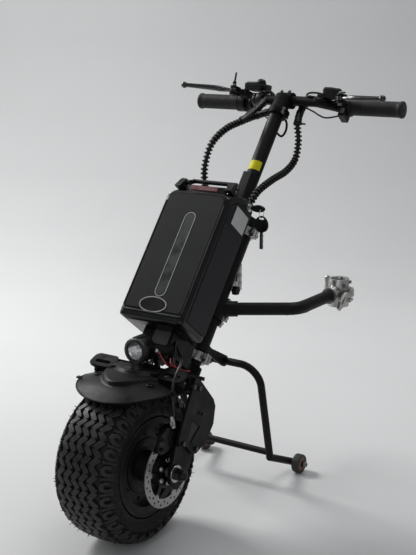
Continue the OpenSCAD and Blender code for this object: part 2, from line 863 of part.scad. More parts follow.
// Routes of the thin leads from the controls to the conduits
bar_lead_routes = [
    concat([
        [32 - grip_x, 84, bar_u + 30], [56 - grip_x, 92, bar_u + 34], [-60, 98, bar_u + 22], [-38, 94, bar_u]
    ], into(loom_left_route, 1)),
    concat([
        [8 - display_x, 68, bar_u + 31], [22 - display_x, 82, bar_u + 20], [-50, 90, bar_u + 10],
        [-32, 91, bar_u - 6]
    ], into(loom_left_route, -1)),
    concat([
        cable_block_end(1), cable_block_end(-18), [46, 82, bar_u + 14]
    ], into(loom_right_route, -1)),
    concat([
        [switch_x[0], 98, bar_u - 10], [switch_x[0] - 24, 92, bar_u - 20], [bar_step_x0, 90, bar_u - 16],
        [54, 96, bar_u - 2]
    ], into(loom_right_route, 1))
];

module bar_leads() {
    column() for (p = bar_lead_routes) cord(p, lead_d, 15, [0, 1, 0.1]);
}

// Battery frame: x across, y back from its front face, z up from its foot
module battery_frame() {
    column() translate([0, battery_front_b, battery_u0]) children();
}

battery_r = 9;
case_wall = 3;

module battery_shell() {
    color("#1a1a1c") battery_frame() translate([0, battery_depth / 2, 0]) linear_extrude(battery_h)
        difference() {
            rounded(battery_w, battery_depth, battery_r);
            rounded(battery_w - 2 * case_wall, battery_depth - 2 * case_wall, battery_r - case_wall);
        }
}

handle_x = 54;
handle_y = 22;
handle_z = battery_h + 34;
handle_pin_r = 3;
handle_post_r = 7;
handle_arm = 20;
// The handle leans back on its stops at this angle above the lid
handle_rest = 40;

module battery_caps() {
    lid_z = battery_h + cap_h;
    top_z = battery_h + top_rise;
    color("#202123") battery_frame() {
        // Foot cap
        translate([0, battery_depth / 2, -cap_h]) linear_extrude(cap_h)
            rounded(battery_w, battery_depth, battery_r);
        // Lid, higher toward the back
        difference() {
            intersection() {
                translate([0, battery_depth / 2, battery_h]) linear_extrude(2 * top_rise)
                    rounded(battery_w, battery_depth, battery_r);
                plate_x(-battery_w / 2, battery_w, [
                    [0, battery_h], [battery_depth, battery_h], [battery_depth, top_z], [62, top_z],
                    [43, top_z - 5], [15, top_z - 17], [4, lid_z], [0, battery_h + 2]
                ]);
            }
            translate([battery_w / 2 - 20, lock_y, lock_z]) disc_x(0, 30, lock_r);
        }
        // Handle posts
        both_sides() translate([handle_x, handle_y, handle_z]) difference() {
            union() {
                disc_x(0, 7, handle_post_r);
                block([0, 7], [-handle_post_r, handle_post_r], [lid_z - handle_z, 0]);
            }
            disc_x(-1, 8, handle_pin_r);
        }
    }
}

module cell_pack() {
    wall = case_wall + 2;
    color("#3f6b8c") battery_frame() translate([0, battery_depth / 2, 0]) linear_extrude(battery_h - 8)
        rounded(battery_w - 2 * wall, battery_depth - 2 * wall, 4);
}

module battery_handle() {
    inner = handle_x - gap;
    eye_r = 6;
    bar_r = 4.5;
    color("#18181a") battery_frame() translate([0, handle_y, handle_z]) rotate([handle_rest, 0, 0]) {
        both_sides() {
            disc_x(inner - 7, inner, eye_r);
            block([inner - 7, inner], [0, handle_arm], [-4, 4]);
            disc_x(inner - 1, handle_x + 7, handle_pin_r - fit);
        }
        translate([0, handle_arm, 0]) disc_x(-inner, inner, bar_r);
    }
}

lock_y = 72;
lock_z = battery_h + 17;
lock_r = 7;
key_hole_r = 2.2;

module lock_frame() {
    battery_frame() translate([battery_w / 2, lock_y, lock_z]) children();
}

module lock_cylinder() {
    color("#c2c4c5") lock_frame() difference() {
        union() {
            disc_x(-18, 0, lock_r);
            disc_x(0, 3, lock_r + 1.5);
        }
        disc_x(-14, 4, key_hole_r + fit);
    }
}

// The key's bow reaches out along the lock's axis and stands upright in the world
key_bow = [8, 38];
key_bow_h = 12;
key_t = 1.6;
key_eye_x = key_bow[1] - 7;
key_eye_r = 3;

module key() {
    color("#b6b8ba") lock_frame() rotate([column_tilt, 0, 0]) {
        disc_x(-13, key_bow[0] + 2, key_hole_r);
        difference() {
            translate([(key_bow[0] + key_bow[1]) / 2, key_t / 2, 0]) rotate([90, 0, 0]) linear_extrude(key_t)
                rounded(key_bow[1] - key_bow[0], key_bow_h, 5.5);
            translate([key_eye_x, -key_t, 0]) rotate([-90, 0, 0]) cylinder(h = 2 * key_t, r = key_eye_r);
        }
    }
}

// The spare key hangs from the first one on a wire ring
key_ring_r = 8;
key_wire_r = 0.8;
key_ring_drop = 1.5;

module hanging_key() {
    bow_r = 14;
    bow_t = 3;
    eye_r = 3.4;
    ring_z = -key_ring_drop - key_ring_r;
    eye_z = ring_z - key_ring_r + key_wire_r + 0.3 - eye_r;
    bow_z = eye_z + eye_r + 2.5 - bow_r;
    color("#1b1b1c") lock_frame() rotate([column_tilt, 0, 0]) translate([key_eye_x, 0, 0]) {
        translate([0, 0, ring_z]) rotate([0, 90, 0]) rotate_extrude()
            translate([key_ring_r, 0]) circle(r = key_wire_r);
        difference() {
            union() {
                translate([0, bow_t / 2, bow_z]) rotate([90, 0, 0]) cylinder(h = bow_t, r = bow_r);
                block([-3.5, 3.5], [-1, 1], [bow_z - bow_r - 32, bow_z - bow_r + 2]);
            }
            translate([0, -bow_t, eye_z]) rotate([-90, 0, 0]) cylinder(h = 2 * bow_t, r = eye_r);
        }
    }
}

// Disc brake

caliper_pivot = [14, 78];

module caliper_body() {
    slot = [rotor_x - 1.2, rotor_x + rotor_t + 1.2];
    color("#2c2d2f") axle_frame() difference() {
        union() {
            block([80, dropout_x], [-6, 44], [52, 86]);
            translate([0, caliper_pivot[0], caliper_pivot[1]]) disc_x(70, 80.5, 4);
        }
        block(slot, [-10, 50], [40, 76]);
        block([slot[1] + 3, dropout_x + 1], [-10, 12], [66, 90]);
    }
}

module caliper_arm() {
    y = caliper_pivot[0];
    z = caliper_pivot[1];
    color("#b4b6b8") axle_frame() difference() {
        union() {
            translate([0, y, z]) disc_x(72, 79, 9);
            plate_x(73, 5, [[y - 3, z - 9], [y + 7, z - 6], [y - 20, z - 42], [y - 27, z - 36]]);
        }
        translate([0, y, z]) disc_x(71, 80, 4 + fit);
    }
}

// Brake cable down the right blade's front and motor lead up the left blade's back
brake_cable_route = [
    [40, 118, 186], [68, 84, 198], [92, 50, 199], [101, 24, 188], [102, 8, 164], [102, 8, 134],
    [101, 12, 108],
    [99, 12, 90]
];
motor_lead_route = [
    [-axle_half, 0, 0], [-axle_half - 10, 8, 2], [-axle_half - 8, 50, 8], [-128, 96, 24],
    [-124, 126, 64], [-116, 138, 104], [-94, 144, 134], [-60, 146, 148]
];

module fork_leads() {
    axle_frame() {
        cord(brake_cable_route, 5, 18, [1, 0, 0.2]);
        cord(motor_lead_route, 8, 22, [0.1, 0, 1]);
    }
}

module control_cables() {
    color("#101011") {
        bar_leads();
        fork_leads();
    }
}

// Docking frame

// The head tube carries the welded lugs of the stand's pivot
module head_tube() {
    lug_u = [head_u0 + 2, head_u0 + 18];
    lug_r = 12;
    color("#18181a") column() difference() {
        union() {
            translate([0, steer_b, head_u0]) cylinder(h = head_u1 - head_u0, d = head_d);
            both_sides() {
                plate_x(15, 6, [
                    [steer_b, lug_u[0]], [stand_b, stand_u - lug_r], [stand_b, stand_u + lug_r],
                    [steer_b + 12, lug_u[1]], [steer_b, lug_u[1]]
                ]);
                translate([0, stand_b, stand_u]) disc_x(15, 21, lug_r);
            }
            translate([0, steer_b, lug_u[0]]) cylinder(h = lug_u[1] - lug_u[0], d = head_d + 9);
        }
        translate([0, steer_b, head_u0 - 1]) cylinder(h = head_u1 - head_u0 + 2, d = bush_d);
        translate([0, stand_b, stand_u]) disc_x(-30, 30, stand_tube_d / 2 + fit);
    }
}

module head_bushings() {
    color("#a5803f") column() translate([0, steer_b, 0]) {
        ring_z(head_u0, head_u0 + bush_len, steerer_d / 2 + fit, bush_d / 2);
        ring_z(head_u1 - bush_len, head_u1, steerer_d / 2 + fit, bush_d / 2);
    }
}

module arm_axis(side) {
    heading = side > 0 ? arm_sweep : 180 - arm_sweep;
    axle_frame() translate([0, arm_y, arm_z]) rotate([0, 0, heading]) children();
}

module docking_bracket() {
    ring_h = 46;
    color("#1c1c1e") difference() {
        union() {
            column() translate([0, steer_b, arm_u - ring_h / 2]) cylinder(h = ring_h, d = head_d + 10);
            for (side = [-1, 1]) arm_axis(side) disc_x(10, 48, arm_d / 2 + 3);
        }
        column() translate([0, steer_b, arm_u - ring_h]) cylinder(h = 2 * ring_h, d = head_d);
        for (side = [-1, 1]) arm_axis(side) disc_x(arm_start, 70, arm_d / 2);
    }
}

// The arm is bored from both ends up to its bend, which is welded in with a bead at each end
module docking_arm() {
    r = arm_d / 2;
    bore = r - 3;
    bead_r = r + 0.4;
    turn = 90 - arm_sweep;
    bend_y = arm_corner_y + arm_tangent;
    front_len = arm_corner - arm_tangent - arm_start;
    rear_len = clamp_y - clamp_r - 2 - bend_y;
    axle_frame() translate([clamp_x - arm_bend_r, bend_y, arm_z]) difference() {
        union() {
            rotate([0, 0, -turn]) {
                rotate_extrude(angle = turn) translate([arm_bend_r, 0]) circle(r = r);
                translate([arm_bend_r, 0, 0]) rotate([90, 0, 0]) {
                    cylinder(h = front_len, r = r);
                    translate([0, 0, -1.5]) cylinder(h = 3, r = bead_r);
                }
            }
            translate([arm_bend_r, 0, 0]) rotate([-90, 0, 0]) {
                cylinder(h = rear_len, r = r);
                translate([0, 0, -1.5]) cylinder(h = 3, r = bead_r);
            }
        }
        rotate([0, 0, -turn]) translate([arm_bend_r, -4, 0]) rotate([90, 0, 0])
            cylinder(h = front_len, r = bore);
        translate([arm_bend_r, 4, 0]) rotate([-90, 0, 0]) cylinder(h = rear_len, r = bore);
    }
}

module arm_right() {
    color("#18181a") docking_arm();
}

module arm_left() {
    color("#18181a") mirror([1, 0, 0]) docking_arm();
}

// A clamp's frame: z along the gripped tube, with the arm coming from -y
module clamp_frame() {
    axle_frame() translate([clamp_x, clamp_y, arm_z]) children();
}

module half_space(sign) {
    block([-100, 100], sign > 0 ? [0.5, 100] : [-100, -0.5], [-100, 100]);
}

module clamp_body() {
    h = clamp_h / 2;
    third = clamp_h / 6;
    clamp_frame() difference() {
        union() {
            intersection() {
                ring_z(-h, h, clamp_bore_d / 2 + liner_t, clamp_r);
                half_space(-1);
            }
            difference() {
                translate([0, 2 - clamp_r, 0]) rotate([90, 0, 0]) cylinder(h = 26, d = arm_d + 9);
                translate([0, 0, -h]) cylinder(h = clamp_h, r = clamp_r - 3);
            }
            for (s = [-1, 1]) {
                translate([-hinge_x, 0, s * 2 * third - third]) cylinder(h = 2 * third, r = knuckle_r);
                block([-hinge_x, 4 - clamp_r], [-6, -0.5], [s * 2 * third - third, s * 2 * third + third]);
                block([clamp_r - 5, latch_x + 7], [latch_y - 8, -1], [s * 12 - 3, s * 12 + 3]);
            }
            translate([-hinge_x, 0, -h]) cylinder(h = clamp_h, r = pin_r);
            translate([latch_x, latch_y, -15]) cylinder(h = 30, r = pin_r);
        }
        translate([0, -clamp_r - 2, 0]) rotate([90, 0, 0]) cylinder(h = 40, d = arm_d);
    }
}

module clamp_jaw() {
    h = clamp_h / 2;
    third = clamp_h / 6;
    clamp_frame() difference() {
        union() {
            intersection() {
                ring_z(-h, h, clamp_bore_d / 2 + 0.5, clamp_r);
                half_space(1);
            }
            translate([-hinge_x, 0, gap - third]) cylinder(h = 2 * third - 2 * gap, r = knuckle_r);
            block([-hinge_x, 4 - clamp_r], [0.5, 6], [gap - third, third - gap]);
            block([clamp_r - 4, clamp_r + 10], [1, 11], [-8, 8]);
        }
        translate([-hinge_x, 0, -h]) cylinder(h = clamp_h, r = pin_r + fit);
    }
}

// Outline of a cam lever and its opening as [back, up] from the latch pin
lever_outline = [
    [0, 8], [-16, 8], [-44, -8], [-52, -22], [-46, -28], [-30, -22], [-14, -8], [0, -8]
];
lever_opening = [[-20, 1], [-38, -8], [-43, -18], [-32, -15]];

module clamp_lever() {
    clamp_frame() translate([latch_x, latch_y, 0]) difference() {
        union() {
            translate([0, 0, -8.4]) cylinder(h = 16.8, r = 6);
            plate_x(-3, 6, lever_outline);
        }
        plate_x(-4, 8, lever_opening);
        translate([0, 0, -10]) cylinder(h = 20, r = pin_r + fit);
    }
}

module clamp_body_right() {
    color("#b9bbbd") clamp_body();
}

module clamp_body_left() {
    color("#b9bbbd") mirror([1, 0, 0]) clamp_body();
}

module clamp_jaw_right() {
    color("#b9bbbd") clamp_jaw();
}

module clamp_jaw_left() {
    color("#b9bbbd") mirror([1, 0, 0]) clamp_jaw();
}

module clamp_lever_right() {
    color("#a9abad") clamp_lever();
}

module clamp_lever_left() {
    color("#a9abad") mirror([1, 0, 0]) clamp_lever();
}

module clamp_liners() {
    h = clamp_h / 2;
    color("#121213") both_sides() clamp_frame() intersection() {
        ring_z(-h, h, clamp_bore_d / 2, clamp_bore_d / 2 + liner_t);
        half_space(-1);
    }
}

// Parking stand

module stand_frame() {
    lean_y = sin(stand_lean);
    lean_z = -cos(stand_lean);
    wheel_side = stand_wheel_x + stand_wheel_w / 2;
    corner = [stand_x, stand_foot_y, stand_foot_z];
    foot = [stand_x + 3, stand_wheel_y, stand_wheel_z];
    cross_up = 12;
    color("#1b1b1d") axle_frame() {
        translate([0, stand_y, stand_z]) rotate([stand_lean, 0, 0]) {
            disc_x(-stand_x + stand_bend_r, stand_x - stand_bend_r, stand_tube_d / 2);
            both_sides() {
                translate([stand_x - stand_bend_r, 0, -stand_bend_r]) rotate([90, 0, 0])
                    rotate_extrude(angle = 90) translate([stand_bend_r, 0]) circle(d = stand_tube_d);
                translate([stand_x, 0, -stand_leg]) cylinder(h = stand_leg - stand_bend_r, d = stand_tube_d);
            }
        }
        both_sides() {
            translate(corner) sphere(d = stand_tube_d + 0.8);
            rod(corner, foot, stand_tube_d);
            translate(foot) sphere(d = stand_tube_d + 0.8);
            translate([0, stand_wheel_y, stand_wheel_z]) {
                disc_x(stand_x, wheel_side + 4, stand_axle_d / 2);
                disc_x(wheel_side + gap, wheel_side + 4, stand_axle_d / 2 + 3);
            }
        }
        translate([0, stand_foot_y - cross_up * lean_y, stand_foot_z - cross_up * lean_z])
            disc_x(-stand_x, stand_x, stand_tube_d / 2 - 1);
    }
}

module stand_wheel() {
    x0 = stand_wheel_x - stand_wheel_w / 2;
    axle_frame() translate([0, stand_wheel_y, stand_wheel_z])
        ring_x(x0, x0 + stand_wheel_w, stand_axle_d / 2 + fit, stand_wheel_d / 2);
}

module stand_wheel_right() {
    color("#4a3a38") stand_wheel();
}

module stand_wheel_left() {
    color("#4a3a38") mirror([1, 0, 0]) stand_wheel();
}

tyre();
hub_shell();
hub_cover();
magnet_ring();
hub_bearings();
brake_rotor();
axle();
stator();
dropouts();
fork_blades();
fork_fasteners();
crown();
fender();
headlight_bracket();
headlight_body();
headlight_lens();
steerer_tube();
steerer_collars();
stem_tube();
upper_bridge();
bar_neck();
handlebar();
grip_fixed();
throttle_grip();
throttle_display();
display_button();
switch_box();
horn_button();
lever_perches();
brake_lever_left();
brake_lever_right();
battery_rail();
controller_box();
loom_left();
loom_right();
control_cables();
caliper_body();
caliper_arm();
battery_shell();
battery_caps();
cell_pack();
lock_cylinder();
battery_handle();
key();
hanging_key();
head_tube();
head_bushings();
docking_bracket();
arm_right();
arm_left();
clamp_body_right();
clamp_body_left();
clamp_jaw_right();
clamp_jaw_left();
clamp_lever_right();
clamp_lever_left();
clamp_liners();
stand_frame();
stand_wheel_right();
stand_wheel_left();
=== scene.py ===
"""Looks of the wheelchair power assist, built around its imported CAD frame."""
import random
from math import atan2, cos, hypot, pi, radians, sin, sqrt

import bpy
import bmesh
import numpy as np
from mathutils import Matrix, Vector
from numpy.linalg import norm


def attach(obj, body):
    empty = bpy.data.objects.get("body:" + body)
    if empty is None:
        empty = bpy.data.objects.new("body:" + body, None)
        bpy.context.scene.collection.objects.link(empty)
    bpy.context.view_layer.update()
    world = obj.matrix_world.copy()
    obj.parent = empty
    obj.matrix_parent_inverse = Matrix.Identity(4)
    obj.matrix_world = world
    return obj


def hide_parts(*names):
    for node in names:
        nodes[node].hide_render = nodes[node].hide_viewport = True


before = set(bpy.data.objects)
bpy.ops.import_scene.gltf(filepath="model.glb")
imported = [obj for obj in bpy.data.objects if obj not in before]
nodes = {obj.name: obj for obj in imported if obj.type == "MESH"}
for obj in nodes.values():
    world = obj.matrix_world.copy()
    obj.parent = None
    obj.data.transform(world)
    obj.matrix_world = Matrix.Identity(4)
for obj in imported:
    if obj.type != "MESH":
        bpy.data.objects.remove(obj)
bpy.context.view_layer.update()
scene = bpy.context.scene
rng = random.Random(7)
TURN = 2 * pi
SIDES = {1: "right", -1: "left"}


def both(*names):
    return [f"{name}_{side}" for name in names for side in SIDES.values()]


# Frames of the part, from millimetres to the row frame in metres
move = Matrix.Translation


def rot(degrees, axis):
    return Matrix.Rotation(radians(degrees), 4, axis)


IDENTITY = Matrix.Identity(4)
MIRROR = Matrix.Scale(-1, 4, (1, 0, 0))
FLIP = {1: IDENTITY, -1: MIRROR}
AXLE = Matrix.Scale(0.001, 4) @ move((0, -250.869, 155))
COLUMN = AXLE @ rot(-38, "X")
CROWN = AXLE @ move((0, 52, 172)) @ rot(-22, "X")
BATTERY = COLUMN @ move((0, -108, 264))
GRIP = COLUMN @ move((0, 108, 896))
DISPLAY = COLUMN @ move((-86, 60, 916)) @ rot(28, "X")
LEVER = {1: GRIP @ rot(29, "X"), -1: GRIP @ MIRROR @ rot(20, "X")}
LAMP = AXLE @ move((0, 52, 212))
TO_X = rot(90, "Y")
TO_LEFT = rot(-90, "Y")
TO_Y = rot(-90, "X")
TO_FRONT = rot(90, "X")
# Stands an outline up in the y-z plane, with its thickness along x
ON_SIDE = Matrix(((0, 0, 1, 0), (1, 0, 0, 0), (0, 1, 0, 0), (0, 0, 0, 1)))


# Mesh helpers: a part is a list of corners with a list of faces

def put(part, m):
    """The part moved by a matrix."""
    return [m @ Vector(p) for p in part[0]], part[1]


def put_at(part, places, turn=IDENTITY):
    """Copies of a part, turned and then moved to each place."""
    return [put(part, move(p) @ turn) for p in places]


def around(part, n, place):
    """Copies of a part at even angles about the axle, facing along x."""
    return [put(part, rot(360 / n * i, "X") @ move(place) @ TO_X) for i in range(n)]


def both_sides(parts, frames=FLIP):
    """The parts on the right and again, mirrored, on the left."""
    return [put(part, frames[side]) for side in SIDES for part in parts]


def joined(parts):
    corners, faces = [], []
    for more_corners, more_faces in parts:
        first = len(corners)
        corners += more_corners
        faces += [tuple(i + first for i in f) for f in more_faces]
    return corners, faces


def grid(rows, wrap_rows=False, wrap_cols=False):
    n, m = len(rows), len(rows[0])
    faces = []
    for i in range(n if wrap_rows else n - 1):
        for j in range(m if wrap_cols else m - 1):
            k, l = (i + 1) % n, (j + 1) % m
            faces.append((i * m + j, i * m + l, k * m + l, k * m + j))
    return [p for row in rows for p in row], faces


def closed(rows):
    return grid(rows, True, True)


def capped(rows):
    """A skin over closed rings with both ends closed."""
    corners, faces = grid(rows, wrap_cols=True)
    m = len(rows[0])
    last = len(corners) - m
    faces.append(tuple(range(m - 1, -1, -1)))
    faces.append(tuple(last + i for i in range(m)))
    return corners, faces


def lathe(profile, segments=24, hexed=(), hollow=False):
    """Turns (radius, height) points about z; the rings named in hexed are hexagons."""
    sixth, twelfth = pi / 3, pi / 6
    rows = []
    for k, (r, z) in enumerate(profile):
        row = []
        for i in range(segments):
            t = TURN * i / segments
            q = r * cos(twelfth) / cos(t % sixth - twelfth) if k in hexed else r
            row.append((q * cos(t), q * sin(t), z))
        rows.append(row)
    return closed(rows) if hollow else capped(rows)


def ring(profile, segments):
    return lathe(profile, segments, hollow=True)


def band(r0, r1, z0, z1, chamfer, segments):
    return ring([(r0, z0), (r1, z0 + chamfer), (r1, z1 - chamfer), (r0, z1)], segments)


def spun(n, profile):
    """Rows about z whose (radius, height) points, profile(i, angle), may change from row to row."""
    rows = []
    for i in range(n):
        t = TURN * i / n
        rows.append([(r * cos(t), r * sin(t), z) for r, z in profile(i, t)])
    return rows


def inset(outline, d):
    """Moves each corner of an anticlockwise outline inward by d along its two sides' mean normal."""
    n = len(outline)
    result = []
    for i in range(n):
        a, b, c = (np.array(outline[(i + k) % n], float) for k in (-1, 0, 1))
        u, v = b - a, c - b
        u, v = u / max(norm(u), 1e-9), v / max(norm(v), 1e-9)
        normal = np.array([-u[1] - v[1], u[0] + v[0]])
        normal /= max(norm(normal), 1e-9)
        result.append(tuple(b + normal * d))
    return result


def prism(outline, z0, z1, bevel=0.6):
    """A plate with the given outline between two heights, with bevelled edges."""
    small = inset(outline, bevel)
    loops = [(small, z0), (outline, z0 + bevel), (outline, z1 - bevel), (small, z1)]
    return capped([[(x, y, z) for x, y in loop] for loop, z in loops])


def rounded(w, h, r, n=5, cx=0, cy=0):
    points = []
    for k, (sx, sy) in enumerate([(1, 1), (-1, 1), (-1, -1), (1, -1)]):
        for i in range(n + 1):
            t = pi / 2 * (k + i / n)
            points.append((cx + sx * (w / 2 - r) + r * cos(t), cy + sy * (h / 2 - r) + r * sin(t)))
    return points


def arc(cx, cy, r, start, end, n):
    return [(cx + r * cos(a), cy + r * sin(a)) for a in np.linspace(start, end, n)]


def ellipse(a, b, cx, cy, n=64):
    return [(cx + a * cos(TURN * i / n), cy + b * sin(TURN * i / n)) for i in range(n)]


def ring_plate(outer, inner, z0, z1):
    loops = [(outer, z0), (outer, z1), (inner, z1), (inner, z0)]
    return closed([[(x, y, z) for x, y in loop] for loop, z in loops])


def box(x, y, z, r=1.5, bevel=0.6):
    outline = rounded(x[1] - x[0], y[1] - y[0], r, 4, sum(x) / 2, sum(y) / 2)
    return prism(outline, z[0], z[1], bevel)


def spline(points, steps):
    """Catmull-Rom curve through the points with the given steps for each stretch."""
    p = [np.array(q, float) for q in points]
    p = [p[0]] + p + [p[-1]]
    result = []
    for i in range(1, len(p) - 2):
        a, b, c, d = p[i - 1:i + 3]
        for k in range(steps):
            t = k / steps
            result.append(0.5 * (2 * b + (c - a) * t + (2 * a - 5 * b + 4 * c - d) * t ** 2
                                 + (3 * b - a - 3 * c + d) * t ** 3))
    return result + [p[-2]]


def even(points, spacing):
    """The same line with points at an even spacing."""
    p = np.array(points, float)
    s = np.concatenate([[0], np.cumsum(norm(np.diff(p, axis=0), axis=1))])
    n = max(2, round(s[-1] / spacing) + 1)
    t = np.linspace(0, s[-1], n)
    return [np.array([np.interp(v, s, p[:, k]) for k in range(3)]) for v in t]


def step(v):
    """A smooth rise from 0 to 1."""
    v = min(1.0, max(0.0, v))
    return v * v * (3 - 2 * v)


def stations(points):
    """Each point of a line with its number and the line's direction there."""
    p = [np.array(q, float) for q in points]
    for i, q in enumerate(p):
        t = p[min(i + 1, len(p) - 1)] - p[max(i - 1, 0)]
        yield i, q, t / max(norm(t), 1e-9)


def sweep(points, section, segments=12):
    """A closed skin along points; section(i, angle) gives the radius."""
    rows = []
    normal = None
    for i, p, t in stations(points):
        if normal is None:
            ref = np.array([0, 0, 1.0]) if abs(t[2]) < 0.9 else np.array([1.0, 0, 0])
            normal = np.cross(t, ref)
        normal = normal - t * np.dot(normal, t)
        normal /= norm(normal)
        side = np.cross(t, normal)
        row = []
        for k in range(segments):
            a = TURN * k / segments
            row.append(tuple(p + section(i, a) * (cos(a) * normal + sin(a) * side)))
        rows.append(row)
    return capped(rows)


def tube(points, r, segments=12):
    return sweep(points, lambda i, a: r, segments)


def wires(routes, r, steps=8, segments=8):
    return [tube(spline(route, steps), r, segments) for route in routes]


def cap_screw(d, h, socket):
    r = d / 2
    profile = [(r, 0), (r, h - 0.12 * d), (r - 0.1 * d, h), (socket, h), (socket, h * 0.4)]
    return lathe(profile, 24, (3, 4))


def button_screw(d, h, socket):
    r = d / 2
    dome = [(r, 0), (r, 0.25 * h), (0.9 * r, 0.65 * h), (0.66 * r, 0.93 * h)]
    return lathe(dome + [(socket, h), (socket, 0.35 * h)], 24, (4, 5))


def hex_nut(d, h, bore):
    r = d / 2
    profile = [(0.93 * r, 0), (r, 0.12 * h), (r, 0.88 * h), (0.88 * r, h), (bore, h), (bore, 0.6 * h)]
    return lathe(profile, 24, (1, 2))


SMALL_SCREW = cap_screw(8, 5, 2)


def new_mesh(name, corners, faces):
    mesh = bpy.data.meshes.new(name)
    mesh.from_pydata(corners, [], faces)
    mesh.polygons.foreach_set("use_smooth", [True] * len(mesh.polygons))
    return mesh


def new_object(name, data):
    obj = bpy.data.objects.new(name, data)
    scene.collection.objects.link(obj)
    return obj


def piece(name, shape, material, body, m=IDENTITY, replaces=(), sharp=32, sheet=False):
    """One mesh object from a part or a list of parts, riding a body; a sheet keeps its faces' direction."""
    corners, faces = joined(shape) if isinstance(shape, list) else shape
    mesh = new_mesh(name, [m @ Vector(p) for p in corners], faces)
    work = bmesh.new()
    work.from_mesh(mesh)
    if not sheet:
        bmesh.ops.recalc_face_normals(work, faces=work.faces)
    work.to_mesh(mesh)
    work.free()
    mesh.set_sharp_from_angle(angle=radians(sharp))
    mesh.materials.append(material)
    obj = new_object(name, mesh)
    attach(obj, body)
    if replaces:
        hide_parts(*replaces)


def bolts(name, shape, material, body, m=IDENTITY):
    piece(name, shape, material, body, m)


def family(body, frame_m, prefix=""):
    """A shorter piece() for pieces that share a body and mostly a frame."""
    def make(name, shape, material, m=frame_m, replaces=(), sharp=32):
        piece(prefix + name, shape, material, body, m, replaces, sharp)
    return make


black_part = family("steering", AXLE)
control = family("steering", GRIP)
cable = family("steering", COLUMN)


# Materials

def setup(node, **values):
    """Sets a node's inputs by name, with _ for a space."""
    for key, value in values.items():
        node.inputs[key.replace("_", " ")].default_value = value


def join(source, out, target, socket):
    source.id_data.links.new(source.outputs[out], target.inputs[socket])


def nodes_of(mat):
    """A maker of a material's nodes, and its main shader."""
    tree = mat.node_tree
    return lambda kind: tree.nodes.new("ShaderNode" + kind), tree.nodes["Principled BSDF"]


def finish(name, color, rough, metal=0.0, vary=0.25, scale=40, bump=0.1, grain=900, spread=0.12, coat=0.0,
           sheen=0.0, tint=None, spec=0.5):
    """A surface whose tone, roughness and fine relief vary over it."""
    mat = bpy.data.materials.new(name)
    mat.use_nodes = True
    new, shader = nodes_of(mat)
    setup(shader, Metallic=metal, Specular_IOR_Level=spec)
    if coat:
        setup(shader, Coat_Weight=coat, Coat_Roughness=0.12)
    if sheen:
        setup(shader, Sheen_Weight=sheen, Sheen_Roughness=0.5)
    place = new("TexCoord")
    broad, fine = new("TexNoise"), new("TexNoise")
    setup(broad, Scale=scale, Detail=5)
    setup(fine, Scale=grain, Detail=3)
    join(place, "Object", broad, "Vector")
    join(place, "Object", fine, "Vector")
    ramp = new("ValToRGB")
    low = [c * (1 - vary) for c in color]
    high = tint or [min(1, c * (1 + vary)) for c in color]
    for stop, position, tone in zip(ramp.color_ramp.elements, (0.3, 0.72), (low, high)):
        stop.position = position
        stop.color = (*tone, 1)
    join(broad, "Fac", ramp, "Fac")
    join(ramp, "Color", shader, "Base Color")
    gloss = new("MapRange")
    setup(gloss, From_Min=0.3, From_Max=0.7, To_Min=max(0.02, rough - spread), To_Max=min(1, rough + spread))
    join(broad, "Fac", gloss, "Value")
    join(gloss, "Result", shader, "Roughness")
    relief = new("Bump")
    setup(relief, Strength=bump, Distance=0.0006)
    join(fine, "Fac", relief, "Height")
    join(relief, "Normal", shader, "Normal")
    return mat


RUBBER = finish("tyre_rubber", (0.008, 0.008, 0.0076), 0.58, vary=0.3, scale=60, bump=0.35, grain=700,
                tint=(0.017, 0.0165, 0.015), spec=0.22)
# Tread rubber: the carcass rubber with a lighter, browner tone, which is painted highlight on the tread
# blocks
TREAD_WITH_PAINTED_HIGHLIGHT = finish("tread_rubber_painted_highlight", (0.0085, 0.0082, 0.0074), 0.5, vary=0.35, scale=80, bump=0.45, grain=500,
               tint=(0.024, 0.0228, 0.0198), spec=0.36)
BLACK = (0.0045, 0.0045, 0.005)
SATIN_BLACK = finish("satin_black", BLACK, 0.5, bump=0.12, grain=1100, spec=0.17)
POCKET = finish("blade_pocket", (0.022, 0.022, 0.023), 0.5, bump=0.15, grain=1200, spec=0.25)
CROWN_BLACK = finish("crown_black", (0.0035, 0.0035, 0.004), 0.62, bump=0.2, grain=1200, spec=0.09)
TUBE_BLACK = finish("tube_black", BLACK, 0.55, bump=0.06, spec=0.2)
HUB_BLACK = finish("hub_black", BLACK, 0.5, bump=0.15, grain=600, spec=0.3)
CASE_SKIN = {"grain": 1500, "scale": 9, "vary": 0.1, "spread": 0.04}
CASE_FRONT = finish("case_front", (0.006, 0.0066, 0.0062), 0.6, bump=0.16, spec=0.14, **CASE_SKIN)
CASE_SIDE = finish("case_side", (0.009, 0.0093, 0.0118), 0.52, bump=0.14, spec=0.24, **CASE_SKIN)
CASE_GLOSS = finish("case_gloss", (0.003, 0.003, 0.0034), 0.24, bump=0.05, scale=22, spread=0.06, spec=0.35)
FENDER = finish("fender_plastic", (0.0048, 0.0048, 0.0045), 0.42, bump=0.22, grain=1300, scale=25, spec=0.12)
PLASTIC = finish("control_plastic", (0.005, 0.005, 0.0054), 0.42, bump=0.14, grain=1400, spec=0.25)
GREY_PLASTIC = finish("grey_plastic", (0.06, 0.06, 0.059), 0.45, bump=0.12, grain=1400)
LAMP_GREY = finish("lamp_bezel", (0.016, 0.016, 0.017), 0.36, bump=0.08, grain=1100)
